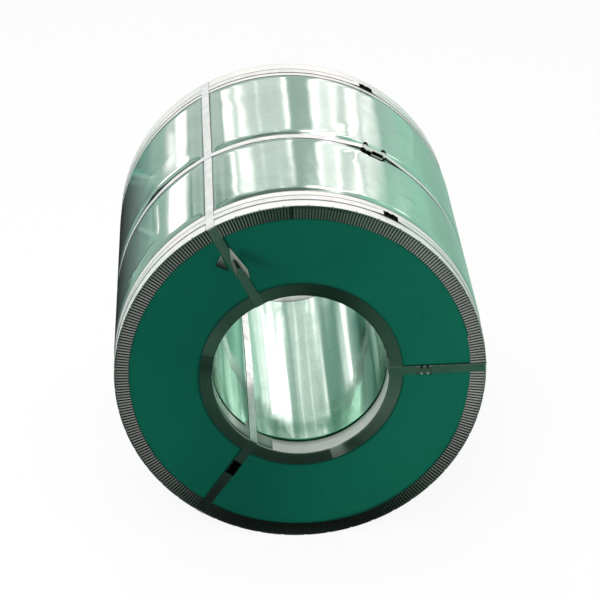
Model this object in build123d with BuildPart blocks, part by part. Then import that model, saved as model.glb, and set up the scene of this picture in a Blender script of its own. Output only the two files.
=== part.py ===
"""A galvanised steel coil in its export packing, lying on its side with the bore level.

The coil's axis runs along Y, the front face looks to -Y and the floor is the plane Z = 0.
All lengths are in millimetres and all angles in degrees, counted from +X towards +Z.
"""
import os
from math import acos, atan2, cos, degrees, hypot, radians, sin, sqrt, tan

from build123d import *

# Coil
coil_outer_radius = 530.0
coil_bore_radius = 254.0
coil_width = 1100.0

# Sheets and boards that wrap the coil
wrap_thickness = 0.5
liner_thickness = 0.5
disc_thickness = 2.0

# Edge protector rings of folded sheet
ring_sheet = 0.6
outer_ring_axial_leg = 100.0
outer_ring_radial_leg = 41.4
flute_count = 184
flute_depth = 1.6
flute_rim = 3.4
flute_groove_share = 0.9
inner_ring_radial_leg = 38.3
front_inner_ring_bore_leg = 65.0
back_inner_ring_bore_leg = 110.0

# Steel straps and the notched seals that close them
strap_width = 25.4
strap_thickness = 0.8
strap_seat = 0.02
crossing_side_gap = 0.4
seal_wall = 0.7
seal_gap = 0.2
seal_length = 45.0
long_seal_length = 86.0
seal_notch_width = 6.0
seal_notch_depth = 4.0
seal_notch_spacing = 18.0
long_seal_notch_spacing = 62.0

# Places of the straps and seals
right_eye_angle = 1.7
upper_eye_angle = 118.3
lower_eye_angle = 235.8
right_eye_seal_share = 0.316
upper_eye_seal_share = 0.503
lower_eye_seal_share = 0.357
girth_seal_angle = 61.6
front_girth_inset = 52.0
back_girth_inset = 61.0
middle_girth_offset = 50.0
end_seal_lift = 1.8
middle_seal_lift = 4.3

# Overrun of every cutting shape past the faces that it opens
cut_overrun = 1.0

# Surfaces that follow from the sizes above
wrap_radius = coil_outer_radius + wrap_thickness
liner_radius = coil_bore_radius - liner_thickness
disc_face = coil_width / 2 + disc_thickness
outer_ring_radius = wrap_radius + ring_sheet
flute_inner_radius = outer_ring_radius - outer_ring_radial_leg
flute_face = disc_face + ring_sheet + flute_depth
inner_ring_radius = liner_radius - ring_sheet
inner_flange_radius = inner_ring_radius + inner_ring_radial_leg
inner_flange_face = disc_face + ring_sheet
end_girth_radius = outer_ring_radius + strap_thickness
axis_height = end_girth_radius
front_girth_y = front_girth_inset - disc_face
back_girth_y = disc_face - back_girth_inset
middle_girth_y = -middle_girth_offset

coil_axis = Axis((0, 0, axis_height), (0, 1, 0))
section_plane = Plane.XY.offset(axis_height)
front_plane = Plane(origin=(0, 0, axis_height), x_dir=(1, 0, 0), z_dir=(0, -1, 0))


def eye_plane(angle):
    """The plane through the coil's axis at an angle: local x runs outwards, local y along the axis."""
    outward = (cos(radians(angle)), 0, sin(radians(angle)))
    sideways = (-sin(radians(angle)), 0, cos(radians(angle)))
    return Plane(origin=(0, 0, axis_height), x_dir=outward, z_dir=sideways)


def turned_sleeve(inner, outer, start, end):
    """A plain ring around the coil's axis, from one place along the axis to another."""
    with BuildPart() as sleeve:
        with BuildSketch(section_plane):
            with Locations(((inner + outer) / 2, (start + end) / 2)):
                Rectangle(outer - inner, end - start)
        revolve(axis=coil_axis)
    return sleeve.part


def flute_groove():
    """One V groove between two flutes: deepest at the leg's inner edge, it runs out below the rim.

    Local x runs outwards along the leg and local z away from the coil.
    """
    pitch = 2 * flute_inner_radius * tan(radians(180 / flute_count))
    half_width = pitch * flute_groove_share / 2
    run = outer_ring_radial_leg - flute_rim
    runout = Plane(
        origin=(flute_inner_radius + run, 0, flute_face), x_dir=(0, 1, 0), z_dir=(-run, 0, -flute_depth)
    )
    with BuildPart() as groove:
        with BuildSketch(runout):
            with BuildLine():
                Polyline((0, 0), (half_width, -flute_depth), (-half_width, -flute_depth), close=True)
            make_face()
        extrude(amount=hypot(run, flute_depth) + cut_overrun)
    return groove.part


def fluted_edge_ring():
    """The front outer edge ring: an L of sheet whose radial leg is pleated into radial flutes."""
    leg_end = outer_ring_axial_leg - disc_face
    groove = flute_groove()
    with BuildPart() as ring:
        with BuildSketch(section_plane):
            with BuildLine():
                Polyline(
                    (wrap_radius, leg_end),
                    (wrap_radius, -disc_face),
                    (flute_inner_radius, -disc_face),
                    (flute_inner_radius, -flute_face),
                    (outer_ring_radius, -flute_face),
                    (outer_ring_radius, leg_end),
                    close=True,
                )
            make_face()
        revolve(axis=coil_axis)
        with BuildSketch(front_plane.offset(disc_face - cut_overrun)):
            RegularPolygon(flute_inner_radius, flute_count, major_radius=False)
        extrude(amount=flute_face - disc_face + 2 * cut_overrun, mode=Mode.SUBTRACT)
        with Locations(front_plane):
            with PolarLocations(0, flute_count, start_angle=180 / flute_count):
                add(groove, clean=False, mode=Mode.SUBTRACT)
    return ring.part


def plain_edge_ring(bore_leg):
    """A front inner edge ring: a plain L of sheet around the mouth of the bore."""
    leg_end = bore_leg - disc_face
    with BuildPart() as ring:
        with BuildSketch(section_plane):
            with BuildLine():
                Polyline(
                    (liner_radius, leg_end),
                    (liner_radius, -disc_face),
                    (inner_flange_radius, -disc_face),
                    (inner_flange_radius, -inner_flange_face),
                    (inner_ring_radius, -inner_flange_face),
                    (inner_ring_radius, leg_end),
                    close=True,
                )
            make_face()
        revolve(axis=coil_axis)
    return ring.part


def turned_to_back(front_piece):
    """The like piece on the back face, mirrored across the middle of the coil."""
    with BuildPart() as back:
        mirror(front_piece, about=Plane.XZ)
    return back.part


def eye_strap(angle):
    """A strap looped through the bore: drawn as a band around the coil's half section."""
    bore_run = sqrt(inner_ring_radius**2 - (strap_width / 2) ** 2) - strap_seat
    end_run = end_girth_radius + strap_seat
    half = strap_width / 2
    fluted = flute_face + strap_seat
    plain = inner_flange_face + strap_seat
    corner = outer_ring_radius + strap_seat
    with BuildPart() as strap:
        with BuildSketch(eye_plane(angle)):
            with BuildLine() as loop:
                Polyline(
                    (wrap_radius + strap_seat, middle_girth_y - half),
                    (wrap_radius + strap_seat, middle_girth_y + half),
                    (end_run, back_girth_y - half),
                    (end_run, back_girth_y + half),
                    (corner, fluted),
                    (flute_inner_radius, fluted),
                    (inner_flange_radius, plain),
                    (bore_run, plain),
                    (bore_run, -plain),
                    (inner_flange_radius, -plain),
                    (flute_inner_radius, -fluted),
                    (corner, -fluted),
                    (end_run, front_girth_y - half),
                    (end_run, front_girth_y + half),
                    close=True,
                )
            make_face()
            offset(amount=strap_thickness, kind=Kind.INTERSECTION)
            make_face(loop.edges(), mode=Mode.SUBTRACT)
        extrude(amount=half, both=True)
    return strap.part


def tent(radius, angle, half_length, lift):
    """A sketch face that raises a round outline where a taut strap passes over something flat."""
    top = radius + lift
    tip = hypot(top, half_length)
    turn = degrees(atan2(half_length, top))
    reach = turn + degrees(acos(radius / tip))
    corners = [(radius, -reach), (tip, -turn), (tip, turn), (radius, reach)]
    points = [(r * cos(radians(angle + a)), r * sin(radians(angle + a))) for r, a in corners]
    with BuildSketch(mode=Mode.PRIVATE) as raised:
        with BuildLine():
            Polyline((0, 0), *points, close=True)
        make_face()
    return raised.sketch


def girth_strap(radius, place, tents):
    """A strap around the coil at a place along the axis, raised over the given flats."""
    with BuildPart() as strap:
        with BuildSketch(front_plane.offset(-place)) as band:
            Circle(radius)
            for angle, half_length, lift in tents:
                add(tent(radius, angle, half_length, lift))
            inner = band.sketch_local.face()
            offset(amount=strap_thickness, kind=Kind.ARC)
            add(inner, mode=Mode.SUBTRACT)
        extrude(amount=strap_width / 2, both=True)
    return strap.part


def seal(plane, length, spacing):
    """A notched sleeve around a strap: local x runs along the strap and local z away from the coil."""
    width = strap_width + 2 * (seal_gap + seal_wall)
    height = strap_thickness + 2 * (seal_gap + seal_wall)
    with BuildPart() as sleeve:
        with BuildSketch(plane):
            Rectangle(length, width)
        extrude(amount=height / 2, both=True)
        with BuildSketch(plane):
            Rectangle(length + cut_overrun, strap_width + 2 * seal_gap)
        extrude(amount=strap_thickness / 2 + seal_gap, both=True, mode=Mode.SUBTRACT)
        with BuildSketch(plane):
            for side in (-1, 1):
                edge = side * (width / 2 + cut_overrun)
                tip = side * (width / 2 - seal_notch_depth)
                for middle in (-spacing / 2, spacing / 2):
                    with BuildLine():
                        Polyline(
                            (middle - seal_notch_width / 2, edge),
                            (middle + seal_notch_width / 2, edge),
                            (middle, tip),
                            close=True,
                        )
                    make_face()
        extrude(amount=height, both=True, mode=Mode.SUBTRACT)
    return sleeve.part


def eye_seal_plane(angle, share):
    """The plane of the strap's middle on the front face, at a share of the way out between the rings."""
    radius = inner_flange_radius + share * (flute_inner_radius - inner_flange_radius)
    strap_back = inner_flange_face + strap_seat + share * (flute_face - inner_flange_face)
    strap_middle = strap_back + strap_thickness / 2
    outward = (cos(radians(angle)), 0, sin(radians(angle)))
    place = (radius * outward[0], -strap_middle, axis_height + radius * outward[2])
    return Plane(origin=place, x_dir=outward, z_dir=(0, -1, 0))


def girth_seal_plane(radius, place, lift):
    """The plane of a girth strap's middle where its seal holds it off the coil."""
    outward = (cos(radians(girth_seal_angle)), 0, sin(radians(girth_seal_angle)))
    along = (-outward[2], 0, outward[0])
    reach = radius + lift + strap_thickness / 2
    origin = (reach * outward[0], place, axis_height + reach * outward[2])
    return Plane(origin=origin, x_dir=along, z_dir=outward)


end_tents = [(girth_seal_angle, seal_length / 2, end_seal_lift)]
crossing_half = strap_width / 2 + crossing_side_gap
crossing_lift = strap_thickness + 2 * strap_seat
middle_tents = [(girth_seal_angle, long_seal_length / 2, middle_seal_lift)]
for eye_angle in (right_eye_angle, upper_eye_angle, lower_eye_angle):
    middle_tents.append((eye_angle, crossing_half, crossing_lift))

front_outer_ring = fluted_edge_ring()
pieces = {
    "steel_coil": turned_sleeve(coil_bore_radius, coil_outer_radius, -coil_width / 2, coil_width / 2),
    "outer_wrap": turned_sleeve(coil_outer_radius, wrap_radius, -disc_face, disc_face),
    "bore_liner": turned_sleeve(liner_radius, coil_bore_radius, -disc_face, disc_face),
    "front_end_disc": turned_sleeve(coil_bore_radius, coil_outer_radius, -disc_face, -coil_width / 2),
    "back_end_disc": turned_sleeve(coil_bore_radius, coil_outer_radius, coil_width / 2, disc_face),
    "front_outer_edge_ring": front_outer_ring,
    "back_outer_edge_ring": turned_to_back(front_outer_ring),
    "front_inner_edge_ring": plain_edge_ring(front_inner_ring_bore_leg),
    "back_inner_edge_ring": turned_to_back(plain_edge_ring(back_inner_ring_bore_leg)),
    "front_girth_strap": girth_strap(outer_ring_radius, front_girth_y, end_tents),
    "middle_girth_strap": girth_strap(wrap_radius, middle_girth_y, middle_tents),
    "back_girth_strap": girth_strap(outer_ring_radius, back_girth_y, end_tents),
    "front_girth_seal": seal(
        girth_seal_plane(outer_ring_radius, front_girth_y, end_seal_lift), seal_length, seal_notch_spacing
    ),
    "middle_girth_seal": seal(
        girth_seal_plane(wrap_radius, middle_girth_y, middle_seal_lift),
        long_seal_length,
        long_seal_notch_spacing,
    ),
    "back_girth_seal": seal(
        girth_seal_plane(outer_ring_radius, back_girth_y, end_seal_lift), seal_length, seal_notch_spacing
    ),
    "right_eye_strap": eye_strap(right_eye_angle),
    "upper_eye_strap": eye_strap(upper_eye_angle),
    "lower_eye_strap": eye_strap(lower_eye_angle),
    "right_eye_seal": seal(
        eye_seal_plane(right_eye_angle, right_eye_seal_share), seal_length, seal_notch_spacing
    ),
    "upper_eye_seal": seal(
        eye_seal_plane(upper_eye_angle, upper_eye_seal_share), seal_length, seal_notch_spacing
    ),
    "lower_eye_seal": seal(
        eye_seal_plane(lower_eye_angle, lower_eye_seal_share), seal_length, seal_notch_spacing
    ),
}

os.makedirs("parts", exist_ok=True)
for name, piece in pieces.items():
    piece.label = name
    export_step(piece, f"parts/{name}.step")
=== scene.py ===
"""A packed steel coil lying on a pale studio floor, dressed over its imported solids.

All lengths are in metres. Angles are in degrees around the coil's level axis, counted from +X
towards +Z, and the front face looks to -Y.
"""
import logging
from dataclasses import dataclass
from enum import Enum
from math import radians

import bpy
import numpy as np
from mathutils import Matrix, Vector


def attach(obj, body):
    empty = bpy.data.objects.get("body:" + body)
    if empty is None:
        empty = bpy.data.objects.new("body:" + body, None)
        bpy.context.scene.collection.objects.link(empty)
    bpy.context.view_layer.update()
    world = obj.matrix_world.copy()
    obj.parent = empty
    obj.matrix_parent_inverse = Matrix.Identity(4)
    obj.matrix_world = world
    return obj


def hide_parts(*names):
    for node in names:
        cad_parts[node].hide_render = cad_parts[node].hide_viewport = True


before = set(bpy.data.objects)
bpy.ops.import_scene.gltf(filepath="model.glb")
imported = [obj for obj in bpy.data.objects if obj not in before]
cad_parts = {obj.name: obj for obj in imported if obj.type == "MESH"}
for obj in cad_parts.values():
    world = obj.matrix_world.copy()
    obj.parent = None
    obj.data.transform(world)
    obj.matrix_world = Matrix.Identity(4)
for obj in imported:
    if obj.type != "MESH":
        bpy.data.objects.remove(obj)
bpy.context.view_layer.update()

Array = np.ndarray
Colour = tuple[float, float, float]
Place = tuple[float, float, float]
Stops = tuple[tuple[float, float], ...]
Socket = bpy.types.NodeSocket
Sockets = bpy.types.bpy_prop_collection

LOG = logging.getLogger("coil")

AXIS_HEIGHT = 0.5319
WRAP_RADIUS = 0.5305
LINER_RADIUS = 0.2535
DISC_FACE = 0.552
RING_SHEET = 0.0006
RING_LEG = 0.100
RING_EDGE = 0.452
OUTER_RING_RADIUS = WRAP_RADIUS + RING_SHEET
INNER_RING_RADIUS = LINER_RADIUS - RING_SHEET
FLUTE_INNER_RADIUS = 0.4897
INNER_FLANGE_RADIUS = 0.2912
FLUTE_FACE = 0.5542
STRAP_WIDTH = 0.0254
STRAP_THICKNESS = 0.0008
FRONT_GIRTH = -0.500
MIDDLE_GIRTH = -0.050
BACK_GIRTH = 0.491
EYE_ANGLES = {"right": 1.7, "upper": 118.3, "lower": 235.8}
SEAL_ANGLE = 61.6
MIDDLE_SEAL_ANGLE = 63.2
SEAL_LENGTH = 0.045
FLOOR_ANGLE = 270.0
SEAM_ANGLE = -90.0
WHITE: Colour = (1.0, 1.0, 1.0)


def ramp(low: float, high: float, x: Array) -> Array:
    """Smooth step: 0 below low, 1 above high, and 3t^2 - 2t^3 in between."""
    t = np.clip((x - low) / (high - low), 0.0, 1.0)
    return t * t * (3.0 - 2.0 * t)


def hump(x: Array, centre: float, spread: float) -> Array:
    """Bell of height 1 at the centre: exp(-((x - centre) / spread)^2)."""
    return np.exp(-(((x - centre) / spread) ** 2))


def turn_from(theta: Array, angle: float) -> Array:
    """Signed angle in degrees from a given angle, from -180 to 180."""
    return (theta - angle + 180.0) % 360.0 - 180.0


def turned(theta: Array, radius: Array, along: Array) -> Array:
    """Points at an angle, a radius and a place along the axis.

    Formula: x = r cos(theta), y = along, z = axis height + r sin(theta), with the three broadcast.

    Args:
        theta: Angles in degrees.
        radius: Distances from the axis.
        along: Places along Y.

    Returns:
        Array of points with a last axis of 3.
    """
    theta, radius, along = np.broadcast_arrays(theta, radius, along)
    a = np.radians(theta)
    return np.stack([radius * np.cos(a), along, AXIS_HEIGHT + radius * np.sin(a)], axis=-1)


def ripple(theta: Array, counts: tuple[int, ...], height: float, seed: int) -> Array:
    """Sum of sine waves around the axis, one for each whole count, with seeded phases.

    Args:
        theta: Angles in degrees.
        counts: Waves in a full turn.
        height: Height of each wave.
        seed: Seed of the phases.

    Returns:
        Array of heights.
    """
    phases = np.random.default_rng(seed).uniform(0.0, 2.0 * np.pi, len(counts))
    waves = [np.sin(count * np.radians(theta) + phase) for count, phase in zip(counts, phases)]
    return height * np.sum(waves, axis=0)


def running(lengths: Array) -> Array:
    """Distances run after each of a row of lengths, from 0."""
    return np.concatenate([[0.0], np.cumsum(lengths)])


def turn_arc(count: int, radius: float) -> Array:
    """Distances round a full turn at a radius, in a count of even steps."""
    return np.radians(np.linspace(0.0, 360.0, count + 1)) * radius


def uv_grid(rows: Array, columns: Array) -> Array:
    """A UV grid from a distance for each row and one for each column."""
    return np.stack(np.broadcast_arrays(rows[:, None], columns[None, :]), axis=-1)


def grid_object(
    name: str,
    points: Array,
    spread: Array,
    around: bool = False,
    across: bool = False,
    masks: dict[str, Array] | None = None,
    crease: float = 35.0,
) -> bpy.types.Object:
    """A mesh object from a grid of points, with a UV map in metres and per-point masks.

    Quad (i, j) joins the points (i, j), (i+1, j), (i+1, j+1) and (i, j+1). A closed direction
    joins the last row or column to the first one.

    Args:
        name: Name of the object.
        points: Grid of points, rows by columns by 3.
        spread: UV grid, with one more row or column in a closed direction.
        around: Whether the rows close.
        across: Whether the columns close.
        masks: Grids of values from 0 to 1 that the finish reads by name.
        crease: Angle in degrees from which an edge is sharp.

    Returns:
        The linked object at the origin.
    """
    rows, columns = points.shape[:2]
    index = np.arange(rows * columns).reshape(rows, columns)
    index = np.vstack([index, index[:1]]) if around else index
    index = np.hstack([index, index[:, :1]]) if across else index
    corners = ((0, 0), (1, 0), (1, 1), (0, 1))
    high, wide = index.shape[0] - 1, index.shape[1] - 1
    quads = np.stack([index[i:i + high, j:j + wide] for i, j in corners], axis=-1).reshape(-1, 4)
    uv = np.stack([spread[i:i + high, j:j + wide] for i, j in corners], axis=2).reshape(-1, 2)
    mesh = bpy.data.meshes.new(name)
    mesh.from_pydata(points.reshape(-1, 3), [], quads)
    layer = mesh.uv_layers.new(name="surface")
    layer.data.foreach_set("uv", uv.astype(np.float32).ravel())
    for mask, values in (masks or {}).items():
        attribute = mesh.attributes.new(mask, "FLOAT", "POINT")
        full = np.broadcast_to(values, (rows, columns)).astype(np.float32)
        attribute.data.foreach_set("value", full.ravel())
    mesh.polygons.foreach_set("use_smooth", np.ones(len(mesh.polygons), dtype=bool))
    mesh.set_sharp_from_angle(angle=radians(crease))
    mesh.update()
    obj = bpy.data.objects.new(name, mesh)
    bpy.context.scene.collection.objects.link(obj)
    return obj


def strap_section(width: float, thickness: float) -> Array:
    """Outline of a flat strap with eased edges, counted round once.

    Args:
        width: Width of the strap.
        thickness: Its thickness.

    Returns:
        Sideways and outward distances of the 8 corners.
    """
    half, ease = width / 2.0, thickness * 0.25
    return np.array([
        (-half + ease, 0.0), (half - ease, 0.0), (half, ease), (half, thickness - ease),
        (half - ease, thickness), (-half + ease, thickness), (-half, thickness - ease), (-half, ease),
    ])


def ribbon(path: Array, side: Array, out: Array, section: Array) -> tuple[Array, Array]:
    """A strap's outline carried along a path.

    Formula: point(i, k) = path(i) + section(k).x side(i) + section(k).y out(i).

    Args:
        path: Points under the strap's middle.
        side: Unit vectors across the strap.
        out: Unit vectors away from what the strap lies on.
        section: Outline of the strap.

    Returns:
        The grid of points and a UV grid with one more row and column.
    """
    points = path[:, None] + section[None, :, :1] * side[:, None] + section[None, :, 1:] * out[:, None]
    step = np.linalg.norm(np.roll(path, -1, axis=0) - path, axis=1)
    edge = np.linalg.norm(np.roll(section, -1, axis=0) - section, axis=1)
    return points, uv_grid(running(step), running(edge))


def headings(path: Array) -> Array:
    """Unit direction at each point of a closed path, from the point before it to the one after."""
    ahead = np.roll(path, -1, axis=0) - np.roll(path, 1, axis=0)
    return ahead / np.linalg.norm(ahead, axis=1, keepdims=True)


def strap_object(name: str, path: Array, side: Array, out: Array, haze: Array) -> bpy.types.Object:
    """A strap along a closed path, pale on its flats and dark on its edges.

    Args:
        name: Name of the object.
        path: Points under the strap's middle.
        side: Unit vectors across the strap.
        out: Unit vectors away from what the strap lies on.
        haze: White bloom at each point of the path, as a column.

    Returns:
        The object.
    """
    points, spread = ribbon(path, side, out, strap_section(STRAP_WIDTH, STRAP_THICKNESS))
    edge_tone = np.array([[1.0, 1.0, 0.1, 0.1, 1.0, 1.0, 0.1, 0.1]])
    masks = {"haze": haze, "tone": edge_tone}
    return grid_object(name, points, spread, around=True, across=True, masks=masks, crease=30.0)


class Tree:
    """A short way to add nodes to a shader tree and to link them."""

    def __init__(self, tree: bpy.types.NodeTree) -> None:
        """Keeps the tree that the nodes go into."""
        self.tree = tree

    def put(self, target: Socket, value: object) -> None:
        """Links a socket to the target, or sets a plain value on it.

        Args:
            target: The input.
            value: A socket, a number, a vector or a colour.
        """
        if isinstance(value, bpy.types.NodeSocket):
            self.tree.links.new(value, target)
        elif isinstance(value, tuple) and len(value) == 3 and len(target.default_value) == 4:
            target.default_value = (*value, 1.0)
        else:
            target.default_value = value

    def node(self, kind: str, inputs: dict | None = None, **settings: object) -> bpy.types.Node:
        """A node of a kind, with its settings and inputs.

        Args:
            kind: Name of the node's type after "ShaderNode".
            inputs: Values or sockets by the input's name or number.
            settings: Attributes of the node.

        Returns:
            The node.
        """
        made = self.tree.nodes.new("ShaderNode" + kind)
        for name, value in settings.items():
            setattr(made, name, value)
        for name, value in (inputs or {}).items():
            self.put(made.inputs[name], value)
        return made

    def use(self, made: bpy.types.NodeTree, vector: Socket, **values: object) -> Sockets:
        """The outputs of a node group at a vector, with its other inputs by name."""
        return self.node("Group", {"Vector": vector, **values}, node_tree=made).outputs

    def end(self, kind: str, shader: bpy.types.Node) -> None:
        """Links a shader to a new output node of a kind."""
        self.put(self.node(kind).inputs["Surface"], shader.outputs[0])

    def math(self, operation: str, *values: object, clamp: bool = False) -> Socket:
        """The result of a Math node on up to three values or sockets."""
        return self.node("Math", dict(enumerate(values)), operation=operation, use_clamp=clamp).outputs[0]

    def times(self, first: object, second: object) -> Socket:
        """The product of two values or sockets."""
        return self.math("MULTIPLY", first, second)

    def mix(self, share: object, first: object, second: object) -> Socket:
        """The colour between two colours, by a share."""
        return self.node("Mix", {0: share, 6: first, 7: second}, data_type="RGBA").outputs[2]

    def step(self, value: Socket, low: float, high: float, start: float = 0.0, end: float = 1.0) -> Socket:
        """A value mapped from one range to another, held at the ends."""
        inputs = {"Value": value, "From Min": low, "From Max": high, "To Min": start, "To Max": end}
        return self.node("MapRange", inputs, clamp=True).outputs[0]

    def fade(self, value: Socket, low: float, high: float) -> Socket:
        """1 below the low value, falling to 0 at the high one."""
        return self.step(value, low, high, 1.0, 0.0)

    def axes(self, vector: Socket) -> list[Socket]:
        """The three axes of a vector."""
        return list(self.node("SeparateXYZ", {0: vector}).outputs)

    def scaled(self, vector: Socket, scale: object) -> Socket:
        """A vector multiplied by a scale on each axis."""
        return self.node("VectorMath", {0: vector, 1: scale}, operation="MULTIPLY").outputs[0]

    def noise(self, vector: Socket, scale: object, detail: float, rough: float = 0.5) -> Socket:
        """Fractal noise from 0 to 1 at a vector."""
        inputs = {"Vector": vector, "Scale": scale, "Detail": detail, "Roughness": rough}
        return self.node("TexNoise", inputs).outputs[0]

    def mask(self, name: str) -> Socket:
        """A mask of the piece, by its name."""
        return self.node("Attribute", attribute_name=name).outputs["Fac"]

    def bump(self, height: Socket, distance: float, strength: float = 1.0, **inputs: Socket) -> Socket:
        """The normal that a height bends."""
        values = {"Height": height, "Distance": distance, "Strength": strength, **inputs}
        return self.node("Bump", values).outputs[0]


def new_material(name: str) -> tuple[bpy.types.Material, Tree]:
    """A new material with nodes, and its Tree.

    Args:
        name: Name of the material.

    Returns:
        The material and its Tree.
    """
    made = bpy.data.materials.new(name)
    made.use_nodes = True
    return made, Tree(made.node_tree)


def group(
    name: str, values: dict[str, float], outputs: tuple[str, ...], vector: bool = True,
) -> tuple[bpy.types.NodeTree, Tree, Sockets, Sockets]:
    """An empty shader node group with named sockets.

    Args:
        name: Name of the group.
        values: Default of each value input, by its name.
        outputs: Names of the value outputs.
        vector: Whether the group also takes a vector.

    Returns:
        The group, its Tree, what comes in and what goes out.
    """
    made = bpy.data.node_groups.new(name, "ShaderNodeTree")
    if vector:
        made.interface.new_socket("Vector", in_out="INPUT", socket_type="NodeSocketVector")
    for label, default in values.items():
        socket = made.interface.new_socket(label, in_out="INPUT", socket_type="NodeSocketFloat")
        socket.default_value = default
    for label in outputs:
        made.interface.new_socket(label, in_out="OUTPUT", socket_type="NodeSocketFloat")
    start, end = made.nodes.new("NodeGroupInput"), made.nodes.new("NodeGroupOutput")
    return made, Tree(made), start.outputs, end.inputs


class Effects:
    """The shared surface effects, each built once as a shader node group."""

    def __init__(self) -> None:
        """Builds the groups."""
        self.brush = self._brush()
        self.spangle = self._spangle()
        self.grime = self._grime()
        self.scratches = self._scratches()
        self.strap_shade = self._strap_shade()
        self.flap_shadow = self._flap_shadow()

    @staticmethod
    def _brush() -> bpy.types.NodeTree:
        """Fine drawn lines: noise stretched along the first axis, in two sizes, and slow waves.

        Returns:
            The group.
        """
        outputs = ("Lines", "Streaks", "Waves")
        made, tree, start, end = group("drawn_lines", {"Scale": 900.0, "Length": 0.03}, outputs)
        stretch = tree.node("CombineXYZ", {0: start["Length"], 1: 1.0, 2: 1.0}).outputs[0]
        vector = tree.scaled(start["Vector"], stretch)
        tree.put(end["Lines"], tree.noise(vector, start["Scale"], 3.0))
        tree.put(end["Streaks"], tree.noise(vector, tree.times(start["Scale"], 0.12), 2.0))
        tree.put(end["Waves"], tree.noise(tree.scaled(start["Vector"], (52.0, 22.0, 30.0)), 1.0, 2.0))
        return made

    @staticmethod
    def _scratches() -> bpy.types.NodeTree:
        """Thin slanting scratches: noise drawn out along a slant and cut to its crests.

        Returns:
            The group.
        """
        made, tree, start, end = group("slanting_scratches", {"Amount": 0.0}, ("Marks",))
        inputs = {"Vector": start["Vector"], "Angle": radians(24.0)}
        slant = tree.node("VectorRotate", inputs, rotation_type="Z_AXIS").outputs[0]
        fine = tree.noise(tree.scaled(slant, (5.0, 170.0, 5.0)), 1.0, 1.0)
        spread = tree.noise(start["Vector"], 16.0, 3.0)
        marks = tree.times(tree.step(fine, 0.58, 0.70), tree.step(spread, 0.46, 0.62))
        tree.put(end["Marks"], tree.times(marks, start["Amount"]))
        return made

    @staticmethod
    def _strap_shade() -> bpy.types.NodeTree:
        """A painted shadow line along one edge of a strap on the face: a narrow band beside its half width.

        Returns:
            The group.
        """
        values = {"Angle": 0.0, "Middle": 0.0, "Side": 1.0}
        made, tree, start, end = group("strap_edge_shade", values, ("Shade",))
        x, _, z = tree.axes(start["Vector"])
        rise = tree.math("SUBTRACT", z, AXIS_HEIGHT)
        sine, cosine = (tree.math(name, start["Angle"]) for name in ("SINE", "COSINE"))
        ahead = tree.math("MULTIPLY_ADD", x, cosine, tree.times(rise, sine))
        aside = tree.math("SUBTRACT", tree.times(rise, cosine), tree.times(x, sine))
        aside = tree.times(tree.math("SUBTRACT", aside, start["Middle"]), start["Side"])
        band = tree.times(tree.step(aside, 0.010, 0.012), tree.fade(aside, 0.0155, 0.0195))
        tree.put(end["Shade"], tree.times(band, tree.step(ahead, 0.0, 0.1)))
        return made

    @staticmethod
    def _flap_shadow() -> bpy.types.NodeTree:
        """A painted shadow of the upper seal's flap on the front board: a soft dark band along a line that
        starts beside the seal.

        Returns:
            The group.
        """
        made, tree, start, end = group("seal_flap_shadow", {}, ("Shade",))
        x, y, z = tree.axes(start["Vector"])
        (head_x, head_z), (run_x, run_z) = (-0.1775, 0.9247), (0.8884, -0.4591)
        x, z = tree.math("SUBTRACT", x, head_x), tree.math("SUBTRACT", z, head_z)
        down = tree.math("MULTIPLY_ADD", x, run_x, tree.times(z, run_z))
        away = tree.math("MULTIPLY_ADD", x, run_z, tree.times(z, -run_x))
        shade = tree.fade(tree.math("ABSOLUTE", away), 0.003, 0.024)
        for limit in (tree.step(down, -0.004, 0.014), tree.fade(down, 0.05, 0.15), tree.fade(y, -0.01, 0.01)):
            shade = tree.times(shade, limit)
        tree.put(end["Shade"], shade)
        return made

    @staticmethod
    def _spangle() -> bpy.types.NodeTree:
        """Zinc crystals: a value for each cell of a Voronoi pattern, softened by noise.

        Returns:
            The group.
        """
        made, tree, start, end = group("zinc_spangle", {"Scale": 160.0}, ("Crystals",))
        inputs = {"Vector": start["Vector"], "Scale": start["Scale"]}
        cells = tree.node("TexVoronoi", inputs, feature="F1")
        tone = tree.node("SeparateColor", {0: cells.outputs["Color"]}).outputs[0]
        soft = tree.noise(start["Vector"], start["Scale"], 2.0)
        tree.put(end["Crystals"], tree.math("MULTIPLY_ADD", soft, 0.6, tree.times(tone, 0.4)))
        return made

    @staticmethod
    def _grime() -> bpy.types.NodeTree:
        """Handling marks: broad smudges and small dark specks.

        Returns:
            The group.
        """
        made, tree, start, end = group("handling_marks", {"Scale": 6.0}, ("Smudges", "Specks"))
        broad = tree.noise(start["Vector"], start["Scale"], 5.0, 0.6)
        tree.put(end["Smudges"], tree.step(broad, 0.38, 0.68))
        fine = tree.noise(start["Vector"], tree.times(start["Scale"], 14.0), 2.0)
        tree.put(end["Specks"], tree.step(fine, 0.70, 0.76))
        return made


class Layout(Enum):
    """Where a finish takes its coordinates from."""

    SURFACE = "surface"
    OBJECT = "object"


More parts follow.
